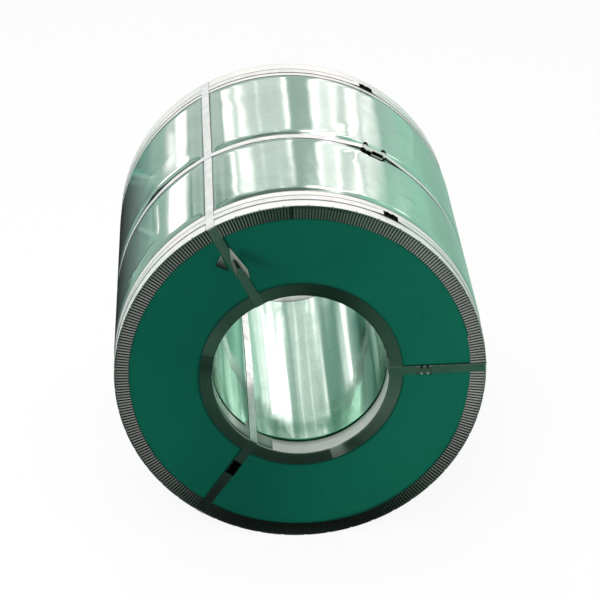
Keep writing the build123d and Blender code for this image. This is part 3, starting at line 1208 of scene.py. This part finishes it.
def spoke(angle: float) -> tuple[Array, Array]:
    """Unit vectors at an angle in degrees: away from the axis, and around it."""
    a = radians(angle)
    return np.array([np.cos(a), 0.0, np.sin(a)]), np.array([-np.sin(a), 0.0, np.cos(a)])


def girth_frame(angle: float, radius: float, place: float) -> Frame:
    """The frame on a strap around the coil.

    Args:
        angle: Angle in degrees.
        radius: Distance from the axis.
        place: Place along the axis.

    Returns:
        The frame.
    """
    out, ahead = spoke(angle)
    return Frame(radius * out + [0.0, place, AXIS_HEIGHT], ahead, np.array([0.0, 1.0, 0.0]), out)


def face_frame(angle: float, radius: float, height: float) -> Frame:
    """The frame on the front face.

    Args:
        angle: Angle in degrees.
        radius: Distance from the axis.
        height: Height off the board.

    Returns:
        The frame.
    """
    ahead, side = spoke(angle)
    origin = radius * ahead + [0.0, -DISC_FACE - height, AXIS_HEIGHT]
    return Frame(origin, ahead, side, np.array([0.0, -1.0, 0.0]))


@dataclass
class EyeStrap:
    """A strap looped through the bore: over the wrap, down both faces and back through the bore."""

    name: str
    angle: float
    rim_shift: float = 0.0
    bore_shift: float = 0.0
    jog: tuple[float, float] = (0.44, 0.36)
    spacing: float = 0.004

    def corners(self) -> Array:
        """Corner points of the loop, as the solid has them.

        Returns:
            Radius and place along the axis of each one.
        """
        half, seat = STRAP_WIDTH / 2.0, 0.00002
        bore = np.sqrt(INNER_RING_RADIUS**2 - half**2) - seat
        end = OUTER_RING_RADIUS + STRAP_THICKNESS + seat
        fluted, plain = FLUTE_FACE + seat, DISC_FACE + RING_SHEET + seat
        return np.array([
            (WRAP_RADIUS + seat, MIDDLE_GIRTH - half), (WRAP_RADIUS + seat, MIDDLE_GIRTH + half),
            (end, BACK_GIRTH - half), (end, BACK_GIRTH + half), (OUTER_RING_RADIUS + seat, fluted),
            (FLUTE_INNER_RADIUS, fluted), (INNER_FLANGE_RADIUS, plain), (bore, plain),
            (bore, -plain), (INNER_FLANGE_RADIUS, -plain), (FLUTE_INNER_RADIUS, -fluted),
            (OUTER_RING_RADIUS + seat, -fluted), (end, FRONT_GIRTH - half), (end, FRONT_GIRTH + half),
        ])

    def loop(self) -> Array:
        """Points along the loop's sides at about the spacing, with a point on each corner.

        Returns:
            Radius and place along the axis of each one.
        """
        corners = self.corners()
        runs = []
        for start, stop in zip(corners, np.roll(corners, -1, axis=0)):
            steps = max(2, int(np.linalg.norm(stop - start) / self.spacing))
            share = np.linspace(0.0, 1.0, steps, endpoint=False)[:, None]
            runs.append(start + (stop - start) * share)
        return np.concatenate(runs)

    def shift(self, loop: Array) -> Array:
        """Sideways drift of the strap: the rim's shift outside, the bore's inside, and a slide between.

        Args:
            loop: Points of the loop.

        Returns:
            Array of distances.
        """
        high, low = self.jog
        inner = 1.0 - ramp(low, high, loop[:, 0])
        front = 1.0 - ramp(-0.1, 0.45, loop[:, 1])
        return front * (self.rim_shift + (self.bore_shift - self.rim_shift) * inner)

    def build(self, finishes: Finishes) -> None:
        """Builds the strap as its outline carried along the loop, which lies in a plane of the axis.

        Formula: point = radius times outward + place times axis + drift times sideways, and the drift
        is 0 at the back.

        Args:
            finishes: The materials.
        """
        loop = self.loop()
        ahead = headings(loop)
        out_flat = np.stack([ahead[:, 1], -ahead[:, 0]], axis=1)
        outward = spoke(self.angle)[0]
        along = np.array([0.0, 1.0, 0.0])
        across = np.cross(along, outward)
        path = loop[:, :1] * outward + loop[:, 1:] * along + np.array([0.0, 0.0, AXIS_HEIGHT])
        path = path + self.shift(loop)[:, None] * across
        out = out_flat[:, :1] * outward + out_flat[:, 1:] * along
        side = np.broadcast_to(across, path.shape)
        haze = 0.85 * ramp(0.5300, 0.5304, loop[:, :1])
        obj = strap_object(f"{self.name}_eye_band", path, side, out, haze)
        finishes.dress(obj, "strap_zinc", f"{self.name}_eye_strap")


def there_and_back(sheet: Array) -> Array:
    """A grid followed by itself backwards, as the two faces of a sheet."""
    return np.hstack([sheet, sheet[:, ::-1]])


class SealLook(Enum):
    """How pale a seal is: its overall paleness and that of its crimped tabs, which is a painted highlight."""

    DARK = (0.010, 0.04)
    EYE = (0.8, 1.0)
    BRIGHT = (1.0, 1.0)


@dataclass
class Seal:
    """A crimped steel sleeve around two overlapped strap ends."""

    name: str
    node: str
    place: Frame
    length: float
    look: SealLook
    width: float = 0.0272
    height: float = 0.0028
    wall: float = 0.0007
    tab_spacing: float = 0.018
    tab_lift: float = 0.0024
    flare: float = 0.0
    ear: float = 0.0
    stations: int = 36
    round_count: int = 28

    def shape(self, s: Array, angle: Array, inset: float) -> tuple[Array, Array]:
        """Sideways and outward distances on the sleeve.

        Formula: a flattened rounded rectangle whose long edges are bent outwards at the tabs. A flare
        spreads its front wall into a skirt at the bottom, a dark sheet that stands in for the shade under
        the raised strap, and at the back ears stand out level with its top.

        Args:
            s: Distances along the sleeve from its middle.
            angle: Angles around its section.
            inset: How far inside the outer surface.

        Returns:
            The sideways and the outward distances.
        """
        half_w, half_h = self.width / 2.0 - inset, self.height / 2.0 - inset
        side = half_w * np.sign(np.cos(angle)) * np.abs(np.cos(angle)) ** 0.35
        out = self.height / 2.0 + half_h * np.sign(np.sin(angle)) * np.abs(np.sin(angle)) ** 0.45
        low = np.clip(1.0 - out / self.height, 0.0, 1.0) * (1.0 - ramp(0.25, 0.5, np.abs(s) / self.length))
        side = side - self.flare * low * ramp(0.3, 0.9, -side / half_w)
        tabs = hump(np.abs(s), self.tab_spacing / 2.0, 0.0035)
        ear = bay(np.abs(s) - self.tab_spacing / 2.0, -0.010, 0.010, 0.004) * ramp(0.4, 0.9, side / half_w)
        side = side + self.ear * ear
        if self.ear > 0.0:
            top = self.height + 0.2 * self.ear
            out = out + 0.9 * (top - out) * ear * ramp(0.3, 0.5, out / self.height)
        edge = ramp(0.62, 1.0, np.abs(side) / half_w) * ramp(0.4, 0.6, out / self.height)
        return side * (1.0 - 0.06 * tabs), out + self.tab_lift * tabs * edge

    def tone(self, s: Array, side: Array, out: Array) -> Array:
        """Paleness: the look's own, with tabs painted pale as highlights, and a dark slot and notches on a
        bright seal, whose front wall and skirt are painted dark as the shade under the raised strap.

        Args:
            s: Distances along the sleeve from its middle.
            side: Sideways distances.
            out: Outward distances.

        Returns:
            Array of values from 0 to 1.
        """
        plain, tab = self.look.value
        share = side / (self.width / 2.0)
        # Tabs painted pale as highlights.
        tabs = hump(np.abs(s), self.tab_spacing / 2.0, 0.0045) * ramp(0.55, 0.9, np.abs(share))
        tone = plain + (tab - plain) * tabs
        # On the seal on the face, the tabs on its upper side are painted dark as shade.
        if self.look is SealLook.EYE:
            tone = tone * (1.0 - 0.95 * tabs * (side > 0.0))
        if self.look is SealLook.BRIGHT:
            level = out / self.height
            slot = bay(s / self.length, -0.36, 0.16, 0.06) * (1.0 - ramp(-0.80, -0.55, share))
            holes = bay(np.abs(s) - self.tab_spacing / 2.0, -0.012, 0.012, 0.002) * ramp(0.7, 0.9, share)
            # The front wall and its skirt painted dark as the shade under the raised strap.
            front = (1.0 - ramp(-0.96, -0.88, share)) * (1.0 - ramp(0.75, 0.95, level))
            lip = bay(level, 0.34, 0.54, 0.06) * bay(s / self.length, -0.38, 0.2, 0.04)
            tone = tone * (1.0 - np.clip(slot + holes + front, 0.0, 1.0)) + 0.9 * lip * front
        return np.clip(tone, 0.0, 1.0)

    def build(self, finishes: Finishes) -> None:
        """Builds the sleeve as a closed wall: the outer skin from end to end, then the inner one back.

        Args:
            finishes: The materials.
        """
        angle = np.linspace(0.0, 2.0 * np.pi, self.round_count, endpoint=False)[:, None]
        s = np.linspace(-0.5, 0.5, self.stations)[None, :] * self.length
        outer_side, outer_out = self.shape(s, angle, 0.0)
        inner_side, inner_out = self.shape(s, angle, self.wall)
        ahead = there_and_back(s) + 0.0 * angle
        side = np.hstack([outer_side, inner_side[:, ::-1]])
        out = np.hstack([outer_out, inner_out[:, ::-1]])
        points = self.place.points(ahead, side, out)
        rows = np.linspace(0.0, 2.2 * self.width, self.round_count + 1)
        spread = uv_grid(rows, np.append(ahead[0], ahead[0, 0]))[..., ::-1]
        tone = np.hstack([self.tone(s, outer_side, outer_out), np.zeros_like(inner_side)])
        masks = {"tone": tone, "haze": 0.8 * tone * (self.look is SealLook.BRIGHT)}
        obj = grid_object(self.name, points, spread, around=True, across=True, masks=masks, crease=40.0)
        finishes.dress(obj, "seal_dark_steel", self.node)


@dataclass
class PeeledSeal:
    """The upper seal, sprung open: a forked flap that stands off the face and a bent wing beside it."""

    place: Frame
    steps: int = 22
    thickness: float = 0.0007

    def patch(self, left: list, middle: list, right: list, lift: Place) -> tuple[Array, Array, Array]:
        """A sheet between three edge lines, each given by points as distances ahead and aside.

        Formula: each line is walked evenly, the sheet is the parabola through the three lines across it,
        and it stands off the face by the lift times s(2 - s) for the share s of the way down.

        Args:
            left: Points of the left line from the top.
            middle: Points of the middle line.
            right: Points of the right line.
            lift: Height of the three lines' lower ends.

        Returns:
            Distances ahead, aside and outwards.
        """
        s = np.linspace(0.0, 1.0, self.steps)
        t = np.linspace(0.0, 1.0, 9)[None, :]
        weights = ((1.0 - t) * (1.0 - 2.0 * t), 4.0 * t * (1.0 - t), t * (2.0 * t - 1.0))
        ahead = aside = out = 0.0
        for line, height, weight in zip((left, middle, right), lift, weights):
            knots = np.linspace(0.0, 1.0, len(line))
            line_array = np.array(line)
            ahead = ahead + weight * np.interp(s, knots, line_array[:, 0])[:, None]
            aside = aside + weight * np.interp(s, knots, line_array[:, 1])[:, None]
            out = out + weight * (0.0018 + height * s * (2.0 - s))[:, None]
        return ahead, aside, out

    def build(self, finishes: Finishes) -> None:
        """Builds the flap and the wing, each as a sheet with a back and joined along its rim.

        Args:
            finishes: The materials.
        """
        parts = {
            "upper_seal_flap": self.patch(
                [(0.451, -0.0180), (0.409, -0.0020), (0.367, 0.0078)],
                [(0.451, -0.0184), (0.420, -0.0166), (0.388, -0.0149)],
                [(0.452, -0.0190), (0.372, -0.0325), (0.344, -0.0240)],
                (0.009, 0.010, 0.013),
            ),
            "upper_seal_wing": self.patch(
                [(0.4425, 0.0140), (0.4340, 0.0280), (0.4240, 0.0410)],
                [(0.4425, 0.0137), (0.4270, 0.0220), (0.4100, 0.0300)],
                [(0.4425, 0.0134), (0.4180, 0.0150), (0.3920, 0.0177)],
                (0.004, 0.0045, 0.005),
            ),
        }
        for index, (name, (ahead, aside, out)) in enumerate(parts.items()):
            out = np.hstack([out, out[:, ::-1] - self.thickness])
            points = self.place.points(there_and_back(ahead), there_and_back(aside), out)
            rows, columns = points.shape[:2]
            spread = uv_grid(np.linspace(0.0, 0.1, rows), np.linspace(0.0, 0.06, columns + 1))
            share, down = np.linspace(0.0, 1.0, 9)[None, :], np.linspace(0.0, 1.0, self.steps)[:, None]
            if index == 0:
                notch = bay(share, 0.30, 0.66, 0.08) * ramp(0.52, 0.62, down)
                # A painted highlight along the flap's upper left edge.
                glint = (1.0 - ramp(0.10, 0.24, share)) * bay(down, 0.05, 0.55, 0.1)
                tone = 0.62 - 0.54 * notch + 0.3 * glint
                haze = (0.11 + 0.04 * share + 0.6 * glint) * (1.0 - notch)
            else:
                tone, haze = 0.5 - 0.4 * down + 0.0 * share, 0.10 * (1.0 - down) + 0.0 * share
            masks = {"tone": there_and_back(tone), "haze": there_and_back(haze)}
            obj = grid_object(name, points, spread, across=True, masks=masks)
            finishes.dress(obj, "seal_dark_steel", *(("upper_eye_seal",) if index == 0 else ()))


def stage_surface(name: str, points: Array, only_reflected: bool) -> Tree:
    """A stage surface, which isn't part of the object, with an empty material.

    Args:
        name: Name of the surface.
        points: Grid of points.
        only_reflected: Whether it is hidden from everything but reflections.

    Returns:
        The Tree of its material.
    """
    obj = grid_object(name, points, np.zeros((*points.shape[:2], 2)))
    made, tree = new_material(name)
    tree.tree.nodes.clear()
    obj.data.materials.append(made)
    if only_reflected:
        obj.visible_camera = obj.visible_diffuse = False
        obj.visible_shadow = obj.visible_transmission = False
    return tree


def level_square(half: float, height: float) -> Array:
    """A level square of 3 by 3 points: x and y from -half to half, and z the height."""
    side = np.linspace(-half, half, 3)
    return np.stack([*np.meshgrid(side, side, indexing="ij"), np.full((3, 3), height)], axis=-1)


@dataclass(frozen=True)
class Panel:
    """A bright window of the tent: its angle and half width, lower and upper height, and added level."""

    angle: float
    half: float
    low: float
    high: float
    level: float

    def inputs(self) -> dict[str, float]:
        """The window as inputs of the panel group."""
        left, right = self.angle - self.half, self.angle + self.half
        return {"Left": left, "Right": right, "Low": self.low, "High": self.high, "Level": self.level}


@dataclass
class Studio:
    """The floor, the soft lamps, the reflected surroundings and the camera."""

    lens: float = 144.0
    sensor: float = 36.0
    eye: Place = (-0.2869, -6.5908, 3.7348)
    right: Place = (0.99889, -0.04712, 0.0)
    up: Place = (0.02074, 0.43961, 0.89795)
    floor_half: float = 14.0
    tent_radius: float = 60.0
    panels: tuple[Panel, ...] = (
        Panel(-24.4, 1.5, 1.8, 7.4, 2.4), Panel(-21.2, 1.2, 4.3, 7.0, 2.4),
        Panel(-27.2, 1.2, 5.0, 8.0, 1.9), Panel(-26.9, 1.8, 7.0, 12.6, 0.55),
        Panel(-23.2, 1.8, 9.5, 20.0, -0.24), Panel(-20.2, 1.6, 17.5, 22.5, -0.22),
        Panel(-17.3, 1.2, 21.4, 24.4, 1.2), Panel(-18.5, 3.0, 7.5, 16.5, 0.2),
        Panel(-14.2, 0.9, 14.0, 23.6, 1.7), Panel(-10.7, 0.6, 14.0, 23.6, 1.5),
        Panel(-6.0, 8.0, 14.0, 24.6, 0.42), Panel(-6.0, 8.0, 24.6, 33.0, 0.3),
        Panel(-5.9, 0.35, 14.0, 23.8, 0.6), Panel(1.6, 0.6, 14.0, 23.8, 1.8),
        Panel(-9.2, 0.35, 25.0, 33.0, 1.0), Panel(-2.2, 0.35, 25.0, 33.0, 1.2),
        Panel(11.6, 3.3, 8.0, 23.4, 0.75), Panel(9.7, 0.6, 8.0, 23.4, 1.1),
        Panel(14.3, 0.45, 8.0, 23.4, 0.9), Panel(17.6, 0.8, 8.0, 23.4, 1.6),
        Panel(17.6, 2.8, 6.0, 23.4, 0.28), Panel(20.3, 0.5, 7.5, 14.0, 1.1),
        Panel(9.5, 3.7, 25.0, 33.0, 2.2), Panel(15.7, 2.5, 22.4, 33.0, 2.2),
        Panel(20.6, 2.0, 15.5, 22.5, 0.3), Panel(21.6, 0.5, 7.5, 14.0, 0.7),
        Panel(20.2, 0.4, 15.5, 23.0, 1.3), Panel(21.9, 0.4, 14.0, 21.0, 1.2),
        Panel(26.9, 1.6, 6.5, 12.5, 1.3), Panel(25.0, 1.0, 13.8, 17.5, 0.8),
    )
    panel_tint: Colour = (1.5, 1.0, 1.15)
    roof_stops: Stops = ((0.0, 0.4), (0.36, 0.5), (0.40, 0.25), (0.55, 0.28), (0.7, 0.8), (1.0, 0.95))
    front_stops: Stops = ((0.0, 0.30), (0.05, 0.45), (0.10, 0.62), (0.40, 0.66), (0.7, 0.85), (1.0, 0.95))

    def camera(self) -> None:
        """Sets the camera at the photograph's place, from its right and up directions."""
        data = bpy.data.cameras.new("view")
        data.lens, data.sensor_width = self.lens, self.sensor
        data.dof.use_dof = False
        obj = bpy.data.objects.new("view", data)
        bpy.context.scene.collection.objects.link(obj)
        back = np.cross(self.right, self.up)
        turn = Matrix(np.column_stack([self.right, self.up, back]).tolist()).to_4x4()
        turn.translation = self.eye
        obj.matrix_world = turn
        bpy.context.scene.camera = obj

    def world(self) -> None:
        """A white background to the camera and to metal, and a plain soft sky to everything else."""
        world = bpy.data.worlds.new("studio")
        world.use_nodes = True
        bpy.context.scene.world = world
        tree = Tree(world.node_tree)
        world.node_tree.nodes.clear()
        path = tree.node("LightPath")
        seen = tree.math("MAXIMUM", path.outputs["Is Camera Ray"], path.outputs["Is Glossy Ray"])
        seen = tree.math("MAXIMUM", seen, path.outputs["Is Transmission Ray"])
        sky = tree.node("Background", {"Color": (0.93, 0.98, 0.96), "Strength": 0.62})
        white = tree.node("Background", {"Color": WHITE, "Strength": 1.0})
        tree.end("OutputWorld", tree.node("MixShader", {0: seen, 1: sky.outputs[0], 2: white.outputs[0]}))

    def floor(self) -> None:
        """A pale floor, mostly white to the camera, that keeps a soft shadow of the coil."""
        tree = stage_surface("floor", level_square(self.floor_half, 0.0), False)
        seen = tree.node("LightPath").outputs["Is Camera Ray"]
        plain = tree.node("BsdfDiffuse", {"Color": (0.96, 0.96, 0.96)})
        white = tree.node("Emission", {"Color": WHITE, "Strength": 1.0})
        inputs = {0: tree.times(seen, 0.9), 1: plain.outputs[0], 2: white.outputs[0]}
        tree.end("OutputMaterial", tree.node("MixShader", inputs))

    def lamp(self, name: str, size: float, energy: float, place: Place, target: Place) -> None:
        """A soft square lamp aimed at a point and left out of reflections.

        Args:
            name: Name of the lamp.
            size: Side of the square.
            energy: Power in watts.
            place: Where the lamp hangs.
            target: Where it points.
        """
        data = bpy.data.lights.new(name, "AREA")
        data.size, data.energy = size, energy
        obj = bpy.data.objects.new(name, data)
        bpy.context.scene.collection.objects.link(obj)
        obj.location = place
        aim = np.array(target) - np.array(place)
        obj.rotation_mode = "QUATERNION"
        obj.rotation_quaternion = Vector(aim).to_track_quat("-Z", "Y")
        obj.visible_glossy = False

    @staticmethod
    def panel_group() -> bpy.types.NodeTree:
        """A soft-edged bright window in angle and height: its level times a smooth step on each side.

        Returns:
            The group.
        """
        labels = ("Angle", "Height", "Left", "Right", "Low", "High", "Level")
        made, tree, start, end = group("soft_panel", dict.fromkeys(labels, 0.0), ("Glow",), vector=False)
        level = start["Level"]
        for value, low, high in (("Angle", "Left", "Right"), ("Height", "Low", "High")):
            for edge, sign in ((low, 1.0), (high, -1.0)):
                past = tree.times(tree.math("SUBTRACT", start[value], start[edge]), sign)
                level = tree.times(level, tree.step(past, -0.35, 0.35))
        tree.put(end["Glow"], level)
        return made

    def panelled_wall(self, tree: Tree, angle: Socket, height: Socket) -> Socket:
        """The wall behind the coil: a plain grey, greener at the right, plus the tinted panels.

        Args:
            tree: Tree of the tent's material.
            angle: Angle around the coil in degrees.
            height: Height above the floor in degrees.

        Returns:
            The colour.
        """
        plain = tree.mix(tree.step(angle, 20.0, 24.0), (0.66, 0.66, 0.66), (0.60, 0.84, 0.74))
        plain = tree.node("SeparateColor", {0: plain})
        glow = 0.0
        window = self.panel_group()
        for panel in self.panels:
            inputs = {"Angle": angle, "Height": height, **panel.inputs()}
            glow = tree.math("ADD", glow, tree.node("Group", inputs, node_tree=window).outputs[0])
        channels = [
            tree.math("MULTIPLY_ADD", glow, tint, plain.outputs[i]) for i, tint in enumerate(self.panel_tint)
        ]
        return tree.node("CombineColor", dict(enumerate(channels))).outputs[0]

    def surroundings(self) -> None:
        """The tent that metal reflects: a grey wall with tall pale panels behind, dark at the left.

        Formula: a half dome around the origin. Behind the coil it is the panelled wall, up to a height
        where the darker roof starts; in front it is dark near the floor and pale above.
        """
        rise = np.radians(np.linspace(0.0, 90.0, 19))[None, :]
        turn = np.radians(np.linspace(0.0, 360.0, 73))[:, None]
        axes = (np.cos(rise) * np.sin(turn), np.cos(rise) * np.cos(turn), np.sin(rise) + 0.0 * turn)
        dome = self.tent_radius * np.stack(axes, axis=-1)
        tree = stage_surface("studio_tent", dome, True)
        x, y, z = tree.axes(tree.node("TexCoord").outputs["Object"])
        angle = tree.math("DEGREES", tree.math("ARCTAN2", x, y))
        flat = tree.math("SQRT", tree.math("ADD", tree.times(x, x), tree.times(y, y)))
        height = tree.math("DEGREES", tree.math("ARCTAN2", z, flat))
        wall = self.panelled_wall(tree, angle, height)
        turn_away = tree.math("ABSOLUTE", angle)
        roof, front = (self.painted(tree, height, stops) for stops in (self.roof_stops, self.front_stops))
        level = tree.mix(tree.step(turn_away, 95.0, 112.0), roof, front)
        shade = tree.times(tree.fade(angle, -62.0, -50.0), tree.step(angle, -125.0, -105.0))
        shade = tree.times(shade, tree.step(height, 35.0, 55.0, 0.85, 0.0))
        level = tree.mix(shade, level, (0.02, 0.025, 0.025))
        behind = tree.times(tree.fade(turn_away, 48.0, 60.0), tree.fade(height, 32.5, 35.0))
        level = tree.mix(behind, level, wall)
        tree.end("OutputMaterial", tree.node("Emission", {"Color": level, "Strength": 1.0}))

    @staticmethod
    def painted(tree: Tree, height: Socket, stops: Stops) -> Socket:
        """A grey that follows the height, from 0 to 90 degrees.

        Args:
            tree: Tree of the tent's material.
            height: Height above the floor in degrees.
            stops: Places from 0 to 1 and their grey levels.

        Returns:
            The colour.
        """
        made = tree.node("ValToRGB", {0: tree.step(height, 0.0, 90.0)})
        elements = made.color_ramp.elements
        while len(elements) < len(stops):
            elements.new(1.0)
        for element, (place, level) in zip(elements, stops):
            element.position = place
            element.color = (level, level, level, 1.0)
        return made.outputs[0]

    def floor_card(self) -> None:
        """The darker floor that metal reflects: dim in front and at the left, greener behind at the right."""
        tree = stage_surface("floor_card", level_square(self.tent_radius, 0.001), True)
        x, y, _ = tree.axes(tree.node("TexCoord").outputs["Object"])
        left = tree.mix(tree.fade(x, -1.75, -0.75), (0.030, 0.037, 0.036), (0.27, 0.335, 0.32))
        left = tree.mix(tree.fade(x, -3.6, -1.75), left, (0.54, 0.66, 0.63))
        right = tree.mix(tree.step(y, 2.5, 10.0), (0.37, 0.575, 0.48), (0.54, 0.81, 0.69))
        beyond = tree.step(tree.math("MULTIPLY_ADD", x, 2.0, y), 0.48, 0.62)
        left = tree.mix(tree.times(beyond, tree.step(x, -2.6, -1.9)), left, (0.20, 0.44, 0.36))
        far = tree.mix(tree.step(x, -0.66, -0.48), left, right)
        near = tree.mix(tree.step(x, -0.6, 0.7), (0.025, 0.065, 0.048), (0.040, 0.115, 0.075))
        near = tree.mix(tree.step(y, -1.5, -0.8), near, (0.010, 0.016, 0.013))
        near = tree.mix(tree.fade(y, -4.2, -2.8), near, (0.29, 0.39, 0.33))
        colour = tree.mix(tree.step(y, -0.6, 0.3), near, far)
        tree.end("OutputMaterial", tree.node("Emission", {"Color": colour, "Strength": 1.0}))

    def build(self) -> None:
        """Sets up the camera, the world, the floor, the lamps and what metal reflects."""
        self.camera()
        self.world()
        self.floor()
        self.surroundings()
        self.floor_card()
        middle = (0.0, 0.0, 0.5)
        self.lamp("overhead", 4.0, 105.0, (-0.6, 0.6, 5.0), middle)
        self.lamp("front_fill", 3.0, 130.0, (-1.5, -5.0, 3.5), middle)
        bpy.context.scene.view_settings.view_transform = "Standard"


def build_girth_straps(finishes: Finishes) -> None:
    """Builds the three straps around the coil and their seals.

    Args:
        finishes: The materials.
    """
    seat, long_seat = Tent(SEAL_ANGLE, 0.0225, 0.0018), Tent(MIDDLE_SEAL_ANGLE, 0.040, 0.0048)
    half, lift = STRAP_WIDTH / 2.0 + 0.0004, STRAP_THICKNESS + 0.00004
    crossings = [Tent(angle, half, lift) for angle in EYE_ANGLES.values()]
    GirthStrap("front", FRONT_GIRTH, OUTER_RING_RADIUS, [seat]).build(finishes)
    GirthStrap("back", BACK_GIRTH, OUTER_RING_RADIUS, [seat]).build(finishes)
    GirthStrap("middle", MIDDLE_GIRTH, WRAP_RADIUS, [long_seat, *crossings]).build(finishes)
    for name, place in (("front", FRONT_GIRTH), ("back", BACK_GIRTH)):
        spot = girth_frame(SEAL_ANGLE, OUTER_RING_RADIUS + seat.lift - 0.0010, place)
        Seal(f"{name}_girth_clip", f"{name}_girth_seal", spot, SEAL_LENGTH, SealLook.DARK).build(finishes)
    spot = girth_frame(MIDDLE_SEAL_ANGLE, WRAP_RADIUS + 0.0004, MIDDLE_GIRTH - 0.005)
    Seal(
        "middle_girth_clip", "middle_girth_seal", spot, 0.078, SealLook.BRIGHT, height=0.0082,
        tab_spacing=0.060, tab_lift=0.0025, flare=0.042, ear=0.014, stations=60, round_count=64,
    ).build(finishes)


def build_eye_straps(finishes: Finishes) -> None:
    """Builds the three straps through the bore and their seals.

    Args:
        finishes: The materials.
    """
    EyeStrap("right", EYE_ANGLES["right"]).build(finishes)
    EyeStrap("upper", EYE_ANGLES["upper"], 0.0015, 0.0060).build(finishes)
    EyeStrap("lower", EYE_ANGLES["lower"], -0.0037, -0.0075, (0.50, 0.255)).build(finishes)
    spot = face_frame(EYE_ANGLES["right"], 0.354, RING_SHEET + 0.0002)
    Seal("right_eye_clip", "right_eye_seal", spot, SEAL_LENGTH, SealLook.EYE).build(finishes)
    spot = face_frame(EYE_ANGLES["lower"] + 1.0, 0.355, RING_SHEET + 0.0002)
    Seal("lower_eye_clip", "lower_eye_seal", spot, SEAL_LENGTH, SealLook.DARK).build(finishes)
    PeeledSeal(face_frame(EYE_ANGLES["upper"], 0.0, RING_SHEET)).build(finishes)


def main() -> None:
    """Builds the studio and the coil's pieces in order."""
    logging.basicConfig(level=logging.INFO, format="%(message)s")
    Studio().build()
    finishes = Finishes(Effects())
    finishes.dress_node("steel_coil", "coil_strip")
    for end, girth in ((End.FRONT, -FRONT_GIRTH), (End.BACK, BACK_GIRTH)):
        finishes.dress_node(f"{end.name.lower()}_end_disc", "green_end_board")
        FlutedRing(end, girth).build(finishes)
    PlainRing(End.FRONT, 0.065, 0.105).build(finishes)
    PlainRing(End.BACK, 0.110, 0.110).build(finishes)
    OuterWrap().build(finishes)
    BoreLiner().build(finishes)
    build_girth_straps(finishes)
    build_eye_straps(finishes)


if __name__ == "__main__":
    main()
